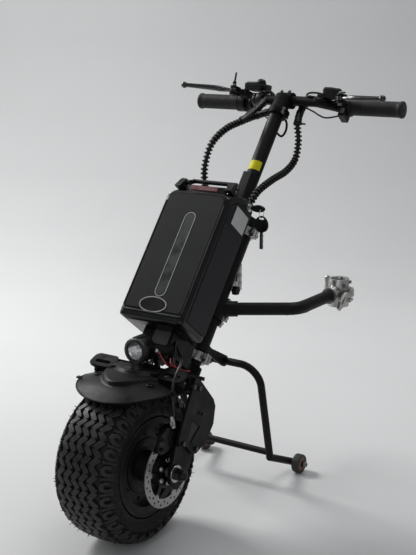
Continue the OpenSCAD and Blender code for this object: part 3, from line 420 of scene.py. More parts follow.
# Trim tone: the side trims' own colour, also used for the bottom strip that is painted highlight
TRIM_AND_HIGHLIGHT = finish("case_trim_and_highlight", (0.03, 0.03, 0.03), 0.35, bump=0.05)
SILVER_PAINT = finish("silver_paint", (0.3, 0.3, 0.3), 0.4, vary=0.08, bump=0.04)
LEVER_BLACK = finish("lever_black", (0.012, 0.012, 0.013), 0.26, bump=0.05, spread=0.06, coat=0.3)
STAND_TYRE = finish("stand_tyre", (0.03, 0.03, 0.03), 0.6, bump=0.2)
GRIP_RUBBER = finish("grip_rubber", (0.009, 0.009, 0.009), 0.6, bump=0.3, grain=1200, sheen=0.06, spec=0.3)
JACKET = finish("cable_jacket", BLACK, 0.4, grain=1200, spec=0.4)
SILVER = finish("bare_aluminium", (0.46, 0.46, 0.44), 0.36, 1.0, vary=0.12, bump=0.12, grain=1300)
CHROME = finish("bright_plating", (0.58, 0.58, 0.57), 0.24, 1.0, vary=0.1, bump=0.05, spread=0.08)
STEEL = finish("rotor_steel", (0.34, 0.34, 0.335), 0.36, 1.0, vary=0.15, grain=1400)
GREY_METAL = finish("grey_metal", (0.2, 0.2, 0.2), 0.4, 1.0, vary=0.2)
DARK_BOLT = finish("dark_bolt", (0.07, 0.07, 0.07), 0.38, 1.0)
COPPER = finish("copper_spring", (0.14, 0.07, 0.035), 0.35, 1.0, bump=0.05)
TIE = finish("tie_nylon", (0.3, 0.3, 0.28), 0.45, vary=0.12, bump=0.08)
WHITE = finish("label_white", (0.5, 0.51, 0.5), 0.5, vary=0.06, scale=60, bump=0.04)
YELLOW = finish("sticker_yellow", (0.6, 0.55, 0.012), 0.5, vary=0.1, scale=90, bump=0.04, spec=0.15)
PILL = finish("pill_plate", (0.014, 0.0165, 0.0165), 0.4, vary=0.12, scale=60, bump=0.08, spec=0.25)
RED = finish("red_panel", (0.12, 0.012, 0.014), 0.38, vary=0.15, bump=0.06)
RED_WIRE = finish("red_wire", (0.3, 0.015, 0.022), 0.4, vary=0.15, bump=0.05)
LED = finish("led_white", (0.85, 0.84, 0.76), 0.25, vary=0.06, scale=300, bump=0.02)
CASTER = finish("caster_hub", (0.2, 0.085, 0.07), 0.5, vary=0.2)
LINER = finish("liner_rubber", (0.008, 0.008, 0.008), 0.6, bump=0.25, grain=1000, spec=0.3)
SCREEN = finish("display_glass", (0.32, 0.33, 0.31), 0.12, vary=0.05, scale=30, bump=0, coat=0.6, spread=0.03)
COPPER_WIRE = finish("stator_copper", (0.4, 0.2, 0.08), 0.35, 1.0, vary=0.2, bump=0.2)
CELL = finish("cell_wrap", (0.06, 0.16, 0.28), 0.3, vary=0.15, bump=0.05)
BRONZE = finish("bush_bronze", (0.4, 0.27, 0.11), 0.4, 1.0, vary=0.2, bump=0.2)

# Clear lamp glass, slightly uneven
GLASS = bpy.data.materials.new("lamp_glass")
GLASS.use_nodes = True
new, shader = nodes_of(GLASS)
setup(shader, Base_Color=(0.95, 0.97, 0.98, 1), Transmission_Weight=1, IOR=1.45)
noise, blur = new("TexNoise"), new("MapRange")
setup(noise, Scale=120)
setup(blur, To_Min=0.02, To_Max=0.07)
join(noise, "Fac", blur, "Value")
join(blur, "Result", shader, "Roughness")

# Brake disc: bright steel around a dark carrier, told apart by the distance from the axle; the carrier's dark
# tone is partly its own black finish and partly painted shade over its arms
CARRIER_EDGE = (0.0475, 0.0485)
ROTOR = STEEL.copy()
ROTOR.name = "rotor_ring"
new, shader = nodes_of(ROTOR)
steel_tone = shader.inputs["Base Color"].links[0].from_node
from_axle = new("VectorMath")
from_axle.operation = "MULTIPLY_ADD"
from_axle.inputs[1].default_value = (0, 1, 1)
from_axle.inputs[2].default_value = -AXLE.translation
join(new("TexCoord"), "Object", from_axle, 0)
radius = new("VectorMath")
radius.operation = "LENGTH"
join(from_axle, "Vector", radius, 0)
in_ring = new("MapRange")
setup(in_ring, From_Min=CARRIER_EDGE[0], From_Max=CARRIER_EDGE[1])
join(radius, "Value", in_ring, "Value")
carrier_tone_and_shade = new("Mix")
carrier_tone_and_shade.data_type = "RGBA"
# Dark carrier colour: partly the carrier's black finish, partly painted shade on its arms
setup(carrier_tone_and_shade, A=(0.03, 0.03, 0.032, 1))
join(in_ring, "Result", carrier_tone_and_shade, "Factor")
join(steel_tone, "Color", carrier_tone_and_shade, "B")
join(carrier_tone_and_shade, "Result", shader, "Base Color")

# Finishes of the solids that no piece stands for
CAD_FINISH = {
    HUB_BLACK: ["hub_shell", "hub_cover"],
    ROTOR: ["brake_rotor"],
    STEEL: ["axle", "magnet_ring", "hub_bearings"],
    COPPER_WIRE: ["stator"],
    CROWN_BLACK: ["crown", "headlight_bracket", "bar_neck"],
    SATIN_BLACK: ["dropouts", "fork_blades", "upper_bridge", "battery_rail", "docking_bracket",
                  "lever_perches", "handlebar", "caliper_body", "controller_box"],
    TUBE_BLACK: ["steerer_tube", "stem_tube", "head_tube", "stand_frame", *both("arm")],
    DARK_BOLT: ["fork_fasteners"],
    CHROME: ["lock_cylinder", "key"],
    SILVER: ["steerer_collars", "caliper_arm", *both("clamp_body", "clamp_jaw", "clamp_lever")],
    PLASTIC: ["headlight_body", "throttle_display", "switch_box", "battery_handle"],
    TIE: ["display_button"],
    RED: ["horn_button"],
    CELL: ["cell_pack"],
    BRONZE: ["head_bushings"],
    LINER: ["clamp_liners"],
}
for material, names in CAD_FINISH.items():
    for name in names:
        mesh = nodes[name].data
        mesh.materials.clear()
        mesh.materials.append(material)

# Softened edges on the metal and plastic solids, by width in millimetres
SOFT_EDGE = {
    0.4: ["key"],
    0.5: ["headlight_bracket", "lock_cylinder"],
    0.6: ["caliper_arm", "headlight_body"],
    0.7: ["dropouts", "fork_blades", "crown", "battery_rail"],
    0.8: ["docking_bracket", "lever_perches", "steerer_collars", "caliper_body", "hub_shell", "hub_cover",
          *both("clamp_body", "clamp_jaw", "clamp_lever")],
    1.0: ["upper_bridge"],
    1.2: ["bar_neck", "controller_box", "throttle_display", "switch_box"],
}
for width, names in SOFT_EDGE.items():
    for name in names:
        weld = nodes[name].modifiers.new("weld", "WELD")
        weld.merge_threshold = 0.00002
        soft = nodes[name].modifiers.new("soft_edge", "BEVEL")
        soft.width = width * 0.001
        soft.segments = 2
        soft.limit_method = "ANGLE"
        soft.angle_limit = radians(38)

# Tyre: carcass, zigzag ribs, curled shoulder lugs, sidewall fins and moulding hairs
HALF_PROFILE = [(0, 149.5), (14, 149.2), (28, 148.2), (40, 146), (49, 142.2), (55.5, 136.5), (60, 129.5),
                (62.5, 122), (62.6, 114), (60.6, 106), (58, 99.5)]
BEADS = [(52, 98), (51, 87.5), (-51, 87.5), (-52, 98)]
CARCASS_STEPS = 240
TREAD_R = 155
PITCHES = 30
PITCH = TURN * TREAD_R / PITCHES
RIB_LINES = (-36, -18, 0, 18, 36)
RIB = [(0.012, 5.2), (0.12, 4.2), (0.25, 0.0), (0.38, -4.2), (0.488, -5.2)]
RIB_WIDTHS = [11.4, 11.2, 10.8, 11.2, 11.4]
HOOK = [(0.1, 70), (0.08, 64), (0.1, 58), (0.2, 53.5), (0.36, 51.5), (0.52, 53.5), (0.6, 58), (0.58, 62),
        (0.5, 65)]
HOOK_WIDTHS = [7, 8, 8, 7.6, 7.6, 7.6, 8, 8, 6]
BAR = [(0.83, 50), (0.86, 60), (0.84, 72)]
BAR_WIDTHS = [6, 7, 7.6]
FINS = [(0.12, 80, 13), (0.42, 78, 9), (0.72, 81, 12)]
HAIRS = 190
# No hairs grow within this angle of the spot that stands on the floor
HAIRLESS = 0.42
half = np.array(spline([(x, r, 0) for x, r in HALF_PROFILE], 8))[:, :2]
line = np.concatenate([half[:0:-1] * [-1, 1], half])
along = np.concatenate([[0], np.cumsum(norm(np.diff(line, axis=0), axis=1))])
along -= along[len(along) // 2]
slope = np.gradient(line, along, axis=0)


def on_tyre(a, s, h):
    """Point at a mm around, s mm across from the crown and h mm above the carcass."""
    x, r, dx, dr = (np.interp(s, along, column) for column in (*line.T, *slope.T))
    n = hypot(dx, dr)
    x, r = x - dr / n * h, r + dx / n * h
    t = a / TREAD_R
    return (x, r * sin(t), r * cos(t))


def ribbon(path, widths, height, draft=1.0, sunk=-1.2):
    """A raised bar of rubber along a path of (around, across) points."""
    rows = []
    for i, p, t in stations(path):
        side = np.array([-t[1], t[0]])
        w = widths[i] / 2
        section = [(-w - draft, sunk), (-w, height - 1), (-w + 1, height), (w - 1, height), (w, height - 1),
                   (w + draft, sunk)]
        rows.append([on_tyre(*(p + side * k), h) for k, h in section])
    return capped(rows)


carcass_rows = []
for i in range(CARCASS_STEPS):
    t = TURN * i / CARCASS_STEPS
    carcass_rows.append([(x, r * sin(t), r * cos(t)) for x, r in [*line[::2], *BEADS]])
carcass = [closed(carcass_rows)]
tread = []
for k in range(PITCHES):
    a0 = k * PITCH
    for s0 in RIB_LINES:
        for first, sign in ((0.0, -1), (0.5, 1)):
            path = [(a0 + (first + f) * PITCH, s0 + sign * d) for f, d in RIB]
            tread.append(ribbon(path, RIB_WIDTHS, 5.5, 0.7))
    for side in (-1, 1):
        b0 = a0 + (0.5 * PITCH if side > 0 else 0)
        for lug, widths, height in ((HOOK, HOOK_WIDTHS, 6.4), (BAR, BAR_WIDTHS, 6.2)):
            tread.append(ribbon([(b0 + f * PITCH, side * s) for f, s in lug], widths, height))
        for f, s, reach in FINS:
            fin = [(b0 + f * PITCH, side * s), (b0 + (f + 0.08) * PITCH, side * (s + reach))]
            carcass.append(ribbon(fin, [2.4, 2.4], 1.3, 0.6))
for k in range(HAIRS):
    t = rng.uniform(0, TURN)
    s = rng.choice((-1, 1)) * rng.uniform(8, 76)
    if abs(t - pi) < HAIRLESS:
        continue
    root = np.array(on_tyre(t * TREAD_R, s, 3))
    tip_around = (t + rng.uniform(-0.012, 0.012)) * TREAD_R
    tip_across = s + rng.uniform(-1.5, 1.5)
    tip = np.array(on_tyre(tip_around, tip_across, rng.uniform(9, 12.5)))
    tread.append(sweep([root, (root + tip) / 2, tip], lambda i, a: (0.75, 0.6, 0.3)[i], 4))
piece("tyre_carcass", carcass, RUBBER, "wheel", AXLE, ["tyre"], sharp=28)
# The tread takes the rubber whose lighter tone is painted highlight
piece("tyre_tread", tread, TREAD_WITH_PAINTED_HIGHLIGHT, "wheel", AXLE, sharp=28)

# Rolled rim edge and stepped dish on both sides, with the cover's screws and the disc's bolts
DISH = [(97, 52), (97.2, 57.5), (95.5, 59.2), (93.2, 58.6), (91.8, 56.5), (88, 55.6), (87.2, 53.8),
        (84, 52.8), (83.2, 50.8), (80.4, 49.8), (79.6, 47.6), (76.8, 46.4), (75.6, 43.2), (74.4, 42.6),
        (74.4, 40), (90, 40)]
COVER_RING = [(55, 0), (55, 1.6), (53, 2.4), (38, 2.4), (36, 1.6), (36, 0)]
dish = put(ring(DISH, 120), TO_X)
piece("rim_dishes", both_sides([dish]), HUB_BLACK, "wheel", AXLE, sharp=40)
cover = around(button_screw(7, 2.6, 1.6), 9, (41.9, 0, 63))
cover += put_at(ring(COVER_RING, 72), [(41.8, 0, 0)], TO_X)
piece("hub_cover_screws", both_sides(cover), HUB_BLACK, "wheel", AXLE)
bolts("rotor_bolts", around(button_screw(10, 3, 2.4), 6, (94.4, 0, 23)), CHROME, "wheel", AXLE)

# Fender: a brim with two raised steps and a rolled edge
FENDER_R, FENDER_BOW = 171, 320
FENDER_HALF, FENDER_NOSE, FENDER_WIDEST, FENDER_REAR = 102, 98, 10, 88
FENDER_THICK = 3
FENDER_LONG, FENDER_WIDE = 88, 64
WING_IN, WING_OUT, WING_STEPS = 84, 110.5, 12


def fender_point(x, y, lift):
    r = FENDER_R - FENDER_BOW + sqrt(FENDER_BOW ** 2 - x * x)
    return (x, y, sqrt(max(1.0, (r + lift) ** 2 - y * y)))


def fender_lift(x, y):
    outer = step((y + 48 - 36 * (x / 47) ** 2) / 5) * step((44 - y) / 4)
    inner = step((y + 4 - 17 * (x / 35) ** 2) / 5) * step((38 - y) / 4)
    return 6.6 * outer + 5.2 * inner


def fender_front(x):
    return FENDER_WIDEST - FENDER_NOSE * sqrt(1 - (x / FENDER_HALF) ** 2)


fender_rows = []
for i in range(FENDER_LONG + 1):
    top, under = [], []
    for k in range(FENDER_WIDE + 1):
        x = FENDER_HALF * sin(pi * (k / FENDER_WIDE - 0.5))
        front = fender_front(x)
        rear = FENDER_REAR - 14 * step((abs(x) - WING_IN) / 8)
        y = front + (rear - front) * (i / FENDER_LONG) ** 1.15
        top.append(fender_point(x, y, fender_lift(x, y)))
        under.append(fender_point(x, y, -FENDER_THICK))
    fender_rows.append(top + under[::-1])
edge = [FENDER_HALF * sin(a) for a in np.linspace(-1.52, 1.52, 110)]
edge = [fender_point(x, fender_front(x) + 0.6, -1.2) for x in edge]
brim = [capped(fender_rows), tube(edge, 2.1, 10)]
peg = lathe([(7, -12), (7, -1), (5.5, -0.2), (3.2, -0.2), (3.2, -6)], 24)
brim += put_at(peg, [(-62, -8, 168), (62, -8, 168)])
brim.append(box([-96, -86], [-34, -24], [158, 161], 2))
wing = []
for i in range(WING_STEPS + 1):
    y = 2 + 72 * i / WING_STEPS
    row = [fender_point(x, y, 0) for x in np.linspace(WING_IN, WING_OUT, 8)]
    wing.append(row + [fender_point(x, y, -FENDER_THICK) for x in np.linspace(WING_OUT, WING_IN, 8)])
brim += both_sides([capped(wing)])
brim.append(box([-53, 53], [22, 47], [162, 180], 7, 2.5))
grommet = [(4.6, -2.5), (5.6, -1.5), (5.6, 2.5), (4.6, 3.5), (2.7, 3.5), (2.7, -2.5)]
brim += put_at(ring(grommet, 24), [(102, 8, 154)])
piece("fender_brim", brim, FENDER, "steering", AXLE, ["fender"], sharp=40)

# Headlight: knurled bezel, bowl with its light sources, domed glass and screws
lamp_shell = family("headlight", LAMP @ TO_FRONT, "lamp_")
lamp_inside = family("headlight", LAMP @ TO_FRONT, "lamp_")


def bezel_profile(i, t):
    r = 25.4 if i % 3 else 24.9
    return [(17.2, 22.4), (17.6, 24.6), (19.2, 26.6), (20.8, 26.2), (21.4, 25.2), (22.6, 25.2), (23.4, 26.0),
            (r - 0.8, 25.2), (r, 23.4), (r, 14.0), (24.9, 12.8), (17.2, 12.8)]


lamp_shell("bezel", closed(spun(180, bezel_profile)), LAMP_GREY, sharp=50)
cowl = [band(24.5, 25.9, 2.0, 5.0, 0.6, 72), band(24.5, 25.7, -5.0, -3.0, 0.6, 72),
        box([-7, 7], [21, 26.8], [-6, 22], 2)]
lamp_shell("cowl", cowl, PLASTIC)
bowl = [(17.3, 22.6), (16.2, 21.2), (13, 19.4), (8, 18.5), (0.05, 18.3), (0.05, 18.1), (17.3, 18.1)]
lamp_inside("bowl", ring(bowl, 72), CHROME, replaces=["headlight_lens"])
led = lathe([(4.6, 18.2), (4.6, 19.2), (4.0, 20.4), (2.6, 21.2), (0.5, 21.6)], 24)
lamp_inside("leds", put_at(led, [(4.5, 7.5, 0), (6.5, -5.5, 0)]), LED)
glass = [(17.3, 22.7), (17.3, 23.3), (14, 24.3), (9, 25.1), (4, 25.5), (0.05, 25.6), (0.05, 25.0), (9, 24.5),
         (14, 23.7)]
lamp_inside("glass_cover", ring(glass, 72), GLASS)
pivot_screw = put_at(button_screw(9, 3, 2.2), [(33.8, 0, 0)], TO_X)
bolts("lamp_pivot_screws", both_sides(pivot_screw), CHROME, "headlight", LAMP)
bracket_screws = put_at(SMALL_SCREW, [(-14, 5, 11), (14, 5, 11)])
bracket_screws += put_at(button_screw(8, 4, 2), [(0, -1.5, 6)], TO_FRONT)
bolts("lamp_bracket_screws", bracket_screws, GREY_METAL, "steering", CROWN)

# Battery: case, front and side panels, side trims with a lighter bottom strip that is painted highlight,
# blank badge, pill and labels, and handle ears
FACE = BATTERY @ TO_FRONT
case_piece = family("battery", FACE, "battery_")
CASE_HALF, CASE_MID, CASE_SEAM = 76, 46.5, 2.6
CASE_FOOT = ((0.2, -13.4), (0.17, -13.2), (0.02, -8.2), (0.006, -6), (0, -3), (0, 0.8), (0.008, 1.2),
             (0.008, 2.2), (0, CASE_SEAM))
WALL_SHARES = (0.5, 0.8, 0.9, 0.95, 0.985)
LID_SHARES = (0.0, 0.008, 0.02, 0.04, 0.07, 0.1, 0.14, 0.18, 0.23, 0.28, 0.34, 0.42, 0.5, 0.6, 0.7, 0.8, 0.9)
LID = np.array([(0, 272), (4, 276), (15, 283), (43, 295), (62, 300), (93, 300)], float)


def lid_height(x, y):
    """Height of the case's top: the lid's slope with shoulders that are rounder at the front."""
    top = np.interp(y, LID[:, 0], LID[:, 1])
    wide = np.interp(y, (0, 20, 60), (24, 19, 5))
    fall = np.interp(y, (0, 20, 60), (20, 16, 5))
    over = min(1.0, max(0.0, (abs(x) - (CASE_HALF - wide)) / wide))
    return top - fall * (1 - sqrt(1 - over * over))


plan = rounded(2 * CASE_HALF, 2 * CASE_MID, 9, 8, 0, CASE_MID)
dense = []
for i, (x, y) in enumerate(plan):
    nx, ny = plan[(i + 1) % len(plan)]
    n = max(1, round(hypot(nx - x, ny - y) / 5))
    dense += [(x + (nx - x) * k / n, y + (ny - y) * k / n) for k in range(n)]


def shrunk(f, d):
    return [(x * (1 - f), CASE_MID + (y - CASE_MID) * (1 - f * d)) for x, y in dense]


case_rows = [[(x, y, z) for x, y in shrunk(f, 1.2)] for f, z in CASE_FOOT]
for f in WALL_SHARES:
    case_rows.append([(x, y, CASE_SEAM + (lid_height(x, y) - CASE_SEAM) * f) for x, y in dense])
for f in LID_SHARES:
    case_rows.append([(x, y, lid_height(x, y) - (0.8 if f == 0 else 0)) for x, y in shrunk(f, 1)])
post = prism(arc(22, 304, 7, 0, pi, 13) + [(14, 276), (34, 284)], 54, 61, 0.8)
case = [capped(case_rows), box([-50, 50], [15, 46], [276, 297.5], 4, 2.2)]
case += both_sides([put(post, ON_SIDE)])
case_piece("case", case, CASE_GLOSS, BATTERY, ["battery_shell", "battery_caps"], sharp=40)
right_half = arc(60, 16, 7, -pi / 2, 0, 6) + arc(51, 251, 16, 0, pi / 2, 9)
front = prism(right_half + [(-x, y) for x, y in right_half[::-1]], -0.4, 1.2, 0.6)
case_piece("front_panel", front, CASE_FRONT)
trims = both_sides([prism(rounded(2.0, 238, 0.9, 3, 69.6, 130), -0.4, 2.0, 0.5)])
# Lighter strip along the front's bottom edge: painted highlight
trims.append(prism(rounded(140, 3, 1.2, 3, 0, 3.5), -0.4, 2.4, 0.6))
case_piece("trims", trims, TRIM_AND_HIGHLIGHT)
PILL_AT, BADGE_AT = (3.4, 132), (-1.6, 20)
case_piece("pill_plate", prism(rounded(23.4, 185.4, 11.6, 12, *PILL_AT), 0.6, 1.3, 0.2), PILL)
pill = ring_plate(rounded(26, 188, 12.9, 12, *PILL_AT), rounded(23, 185, 11.4, 12, *PILL_AT), 1.0, 1.7)
case_piece("pill_outline", pill, SILVER_PAINT)
badge = ring_plate(ellipse(32, 16.5, *BADGE_AT), ellipse(30, 14.6, *BADGE_AT), 1.0, 2.1)
case_piece("badge_rim", badge, SILVER_PAINT)
case_piece("badge_plate", prism(ellipse(29.6, 14.2, *BADGE_AT), 0.9, 1.6, 0.3), CASE_GLOSS)
side_outline = [(14, 3), (86, 3), (90, 7), (90, 284), (87, 289), (64, 289), (43, 280), (20, 262), (13, 254)]
panel = put_at(prism(side_outline, -0.4, 1.6, 0.8), [(CASE_HALF, 0, 0)], ON_SIDE)
label = put_at(prism(rounded(52, 40, 2, 4, 58, 248), 1.4, 1.9, 0.15), [(CASE_HALF, 0, 0)], ON_SIDE)
case_piece("side_panels", both_sides(panel), CASE_SIDE, BATTERY)
case_piece("blank_labels", both_sides(label), WHITE, BATTERY)
case_piece("red_panel", prism(rounded(66, 10, 2, 4, -3, 290.5), -15.4, -14, 0.4), RED)
ear = [(1, 284), (37, 284), (32, 306), (27, 311), (17, 311), (12, 306)]
ears = both_sides([put(prism(ear, 55, 68, 1.4), ON_SIDE)])
case_piece("handle_ears", ears, PLASTIC, BATTERY)
post_screws = put_at(button_screw(7, 2.0, 1.6), [(67.8, 22, 304)], TO_X)
post_screws += put_at(button_screw(7, 2.0, 1.6), [(54, 22, 304)], TO_LEFT)
post_screws += put_at(cap_screw(6, 3, 1.6), [(67.6, 22, 292)], TO_X)
bolts("battery_post_screws", both_sides(post_screws), GREY_METAL, "battery", BATTERY)

# Lock rim, key, and the ring with the spare key
LOCK = BATTERY @ move((CASE_HALF, 72, 287))
KEY = LOCK @ rot(38, "X")
HANG = KEY @ move((31, 0, 0))
RING_R, RING_WIRE = 8.6, 0.6
bow = prism(ellipse(16.5, 7.4, 22.5, 0, 40), -2.4, 2.4, 1.0)
piece("key_bow_cover", bow, PLASTIC, "key", KEY @ TO_FRONT)
lock_rim = ring([(8.4, 2.8), (8.4, 3.6), (7.4, 4.2), (4.2, 4.2), (4.2, 2.8)], 40)
piece("lock_rim", lock_rim, CHROME, "battery", LOCK @ TO_X)
ring_section = ellipse(RING_WIRE, RING_WIRE, RING_R, 0, 8)
key_ring = closed(spun(48, lambda i, t: ring_section))
piece("key_ring", key_ring, CHROME, "hanging_key", HANG @ move((0, 0, -9.5)) @ ON_SIDE,
      ["hanging_key"])


def by_angle(loop, cx, cy, n=96):
    """Points of an outline at even angles about a middle."""
    a = sorted((atan2(y - cy, x - cx), x, y) for x, y in loop)
    first, last = a[0], a[-1]
    a = np.array([(last[0] - TURN, *last[1:]), *a, (first[0] + TURN, *first[1:])])
    t = np.array([-pi + TURN * i / n for i in range(n)])
    return list(zip(np.interp(t, a[:, 0], a[:, 1]), np.interp(t, a[:, 0], a[:, 2])))


egg = [(15.4 * sin(t) * (1 - 0.1 * cos(t)), -31 + 17 * cos(t)) for t in np.linspace(0, TURN, 49)[:-1]]
slot_hole = rounded(13, 4.6, 2.2, 11, 0, -19.4)
slot_mid = np.mean(slot_hole, axis=0)
hang_bow = ring_plate(by_angle(egg, *slot_mid), by_angle(slot_hole, *slot_mid), -2.0, 2.0)
piece("hanging_key_bow", hang_bow, PLASTIC, "hanging_key", HANG @ TO_FRONT)
key_blade = [box([-3.8, 3.8], [-1.2, 1.2], [-82, -45], 0.8, 0.4)]
for i in range(5):
    key_blade.append(box([3.0, 4.6 - 0.5 * (i % 2)], [-1, 1], [-78 + 5.4 * i, -75.6 + 5.4 * i], 0.4, 0.2))
piece("hanging_key_blade", key_blade, GREY_METAL, "hanging_key", HANG)

# Stem: blank yellow band, collar bolts and rings, neck bolts and cable hook
STICKER_STEPS = 24
start, end = radians(180), radians(338)
angles = [start + (end - start) * i / STICKER_STEPS for i in range(STICKER_STEPS + 1)]
sticker_edges = ((15.75, 680), (16.1, 680.2), (16.1, 701.8), (15.75, 702))
sticker = grid([[(r * cos(a), r * sin(a), z) for a in angles] for r, z in sticker_edges])
piece("stem_blank_sticker", sticker, YELLOW, "steering", COLUMN @ move((0, 48, 0)),
      sheet=True)
collar_bolts = []
for u in (260, 556):
    collar_bolts += put_at(cap_screw(9, 6, 2.2), [(25, 85, u)], TO_FRONT)
    collar_bolts += put_at(hex_nut(10, 5, 2.4), [(25, 103, u)], TO_Y)
    collar_bolts += put_at(cap_screw(7, 5, 1.8), [(25, 85, u + 5)], TO_FRONT)
bolts("collar_bolts", collar_bolts, GREY_METAL, "steering", COLUMN)
collar_rings = [band(20.8, 21.5, z, z + 2.2, 0.4, 64) for z in (254, 260, 266, 550, 556, 562)]
piece("collar_rings", collar_rings, SILVER, "steering", COLUMN @ move((0, 94, 0)))
neck_bolts = []
for u in (830, 838):
    neck_bolts += put_at(cap_screw(8, 6, 2), [(19.5, 40, u)], TO_FRONT)
    neck_bolts += put_at(hex_nut(9, 5, 2), [(19.5, 56, u)], TO_Y)
neck_bolts += put_at(SMALL_SCREW, [(-10, 49, 889), (10, 49, 889)], rot(45, "X"))
bolts("neck_bolts", neck_bolts, GREY_METAL, "steering", COLUMN)
hook = wires([[(4, 66, 838), (8, 84, 832), (8, 92, 815), (6, 86, 798), (2, 66, 796)]], 2.6)
piece("cable_hook", hook, SATIN_BLACK, "steering", COLUMN)

# Ribbed conduits with their upper sleeves and ties; their heights are shares of the rise from the foot
LOOM_FOOT, LOOM_RISE = 501.2, 356.8
LOOMS = {
    "left": [(-34, 70, .98), (-46, 44, .9), (-56, 14, .8), (-66, -18, .68), (-74, -34, .546),
             (-79, -22, .423), (-79, -3, .339), (-62, 7, .235), (-34, 10, .12), (-28, 10, 0)],
    "right": [(36, 78, 1), (46, 68, .9), (53, 86, .804), (55, 96, .692), (55, 78, .574), (53, 44, .456),
              (51, 12, .322), (46, 6, .21), (33, 10, .11), (28, 10, 0)],
}
RIB_PITCH, RIB_CREST, RIB_ROOT = 8.8, 8.2, 4.3
RIB_RADII = (*[RIB_ROOT] * 3, RIB_ROOT + 0.4, RIB_CREST - 0.5, RIB_CREST, RIB_CREST, RIB_CREST - 0.5)
loom_lines = {}
for name, shape in LOOMS.items():
    loom_lines[name] = [(x, b, LOOM_FOOT + f * LOOM_RISE) for x, b, f in shape]
    fine_line = even(spline(loom_lines[name], 24), RIB_PITCH / 8)
    conduit = sweep(fine_line, lambda i, a: RIB_RADII[i % 8], 16)
    cable("conduit_" + name, conduit, JACKET, replaces=["loom_" + name], sharp=30)
left_top, right_top = loom_lines["left"], loom_lines["right"]


def sleeve(points, r, wave, rate, fold):
    """A soft sleeve with slack folds along and around it."""
    def radius_at(i, a):
        return r + wave * sin(i * rate) + fold * sin(3 * a + i)
    return sweep(spline(points, 8), radius_at, 14)


LEFT_SLEEVE = [(-20, 88, 897), (-26, 84, 880), (-34, 70, 852), (-41, 55, 835), (-47, 41, 819)]
RIGHT_SLEEVE = [(38, 84, 899), (36, 82, 880), (36, 78, 858), (41, 72, 840), (46, 68, 822)]
LONG_SLEEVE = [(-48, 72, 897), (-51, 60, 876), (-52, 46, 846), (-54, 28, 812), (-57, 10, 782)]
BAR_WIRES = [
    [(40, 84, 893), (54, 52, 890), (74, 58, 897), (90, 76, 902), (104, 88, 910)],
    [(38, 88, 896), (58, 50, 882), (78, 60, 886), (98, 86, 896), (112, 92, 900)],
    [(-46, 70, 894), (-40, 50, 890), (-64, 50, 890), (-82, 58, 902)],
    [(-48, 72, 892), (-70, 52, 880), (-92, 78, 886), (-112, 86, 896)],
]
sleeves = [sleeve(LEFT_SLEEVE, 8.4, 0.5, 1.3, 0.4), sleeve(RIGHT_SLEEVE, 8.2, 0.5, 1.7, 0.4),
           sleeve(LONG_SLEEVE, 8.6, 0.6, 0.9, 0.5)] + wires(BAR_WIRES, 2.3)
cable("bundle_sleeves", sleeves, JACKET, sharp=60)


def tie(a, b, r, tail):
    """A nylon tie: a band around a bundle that runs from a to b, with its head and a cut tail."""
    a, b = Vector(a), Vector(b)
    m = move(a) @ (b - a).to_track_quat("Z", "Y").to_matrix().to_4x4()
    strap = band(r - 0.6, r + 0.7, -2, 2, 0, 28)
    head = box([-3, 3], [r - 0.4, r + 4], [-3, 3], 0.8, 0.4)
    end = box([-1, 1], [r + 3, r + 3 + tail], [-1.8, 1.8], 0.5, 0.3)
    return [put(part, m) for part in (strap, head, end)]


ties = tie(left_top[1], left_top[2], 8.4, 10) + tie((-24, 86, 886), (-27, 82, 878), 9.2, 12)
ties += tie(right_top[1], right_top[2], 8.6, 12) + tie((36, 82, 880), (36, 80, 870), 9, 8)
cable("bundle_ties", ties, JACKET)
LIGHT_TIES = [
    [(-16, 92, 905), (-18, 84, 890), (-24, 74, 872), (-30, 64, 858)],
    [(28, 90, 897), (30, 92, 880), (34, 88, 862)],
]
flat = [sweep(even(spline(route, 10), 3), lambda i, a: 1.4 + 1.6 * abs(cos(a)), 10) for route in LIGHT_TIES]
cable("light_ties", flat, TIE)
TIE_LOOP = [(-26, 76, 852), (-20, 66, 836), (-30, 58, 826), (-36, 62, 838), (-30, 72, 850)]
cable("tie_loop", wires([TIE_LOOP], 1.3), JACKET)


def into(loom, side, off=1.95):
    """The end of a lead that enters a conduit's top beside another one."""
    p0, p1 = np.array(loom[0], float), np.array(loom[1], float)
    h = (p1 - p0) / norm(p1 - p0)
    e = np.cross(h, (1, 0, 0))
    e /= norm(e)
    return [tuple(p0 - 18 * h + side * off * e), tuple(p0 + 2 * h + side * off * e)]


LEADS = [
    [(-118, 84, 906), (-94, 92, 910), (-60, 98, 898), (-38, 94, 876)] + into(left_top, 1),
    [(-78, 68, 907), (-64, 82, 896), (-50, 90, 886), (-32, 91, 870)] + into(left_top, -1),
    [(91, 72.5, 900.3), (72, 72.5, 900.3), (46, 82, 890)] + into(right_top, -1),
    [(120, 98, 866), (96, 92, 856), (78, 90, 860), (54, 96, 874)] + into(right_top, 1),
]
cable("bar_leads", wires(LEADS, 1.9, 10, 10), JACKET, replaces=["control_cables"])
BRAKE = [(40, 118, 186), (68, 84, 198), (92, 50, 199), (101, 24, 188), (102, 8, 164), (102, 8, 134),
         (101, 12, 108), (99, 12, 90)]
MOTOR = [(-135, 0, 0), (-145, 8, 2), (-143, 50, 8), (-128, 96, 24), (-124, 126, 64), (-116, 138, 104),
         (-94, 144, 134), (-60, 146, 148), (-44, 147.5, 154), (-28, 148, 163)]
cable("fork_leads", wires([BRAKE], 2.6, 12, 12) + wires([MOTOR], 4.1, 12, 14), JACKET, AXLE)

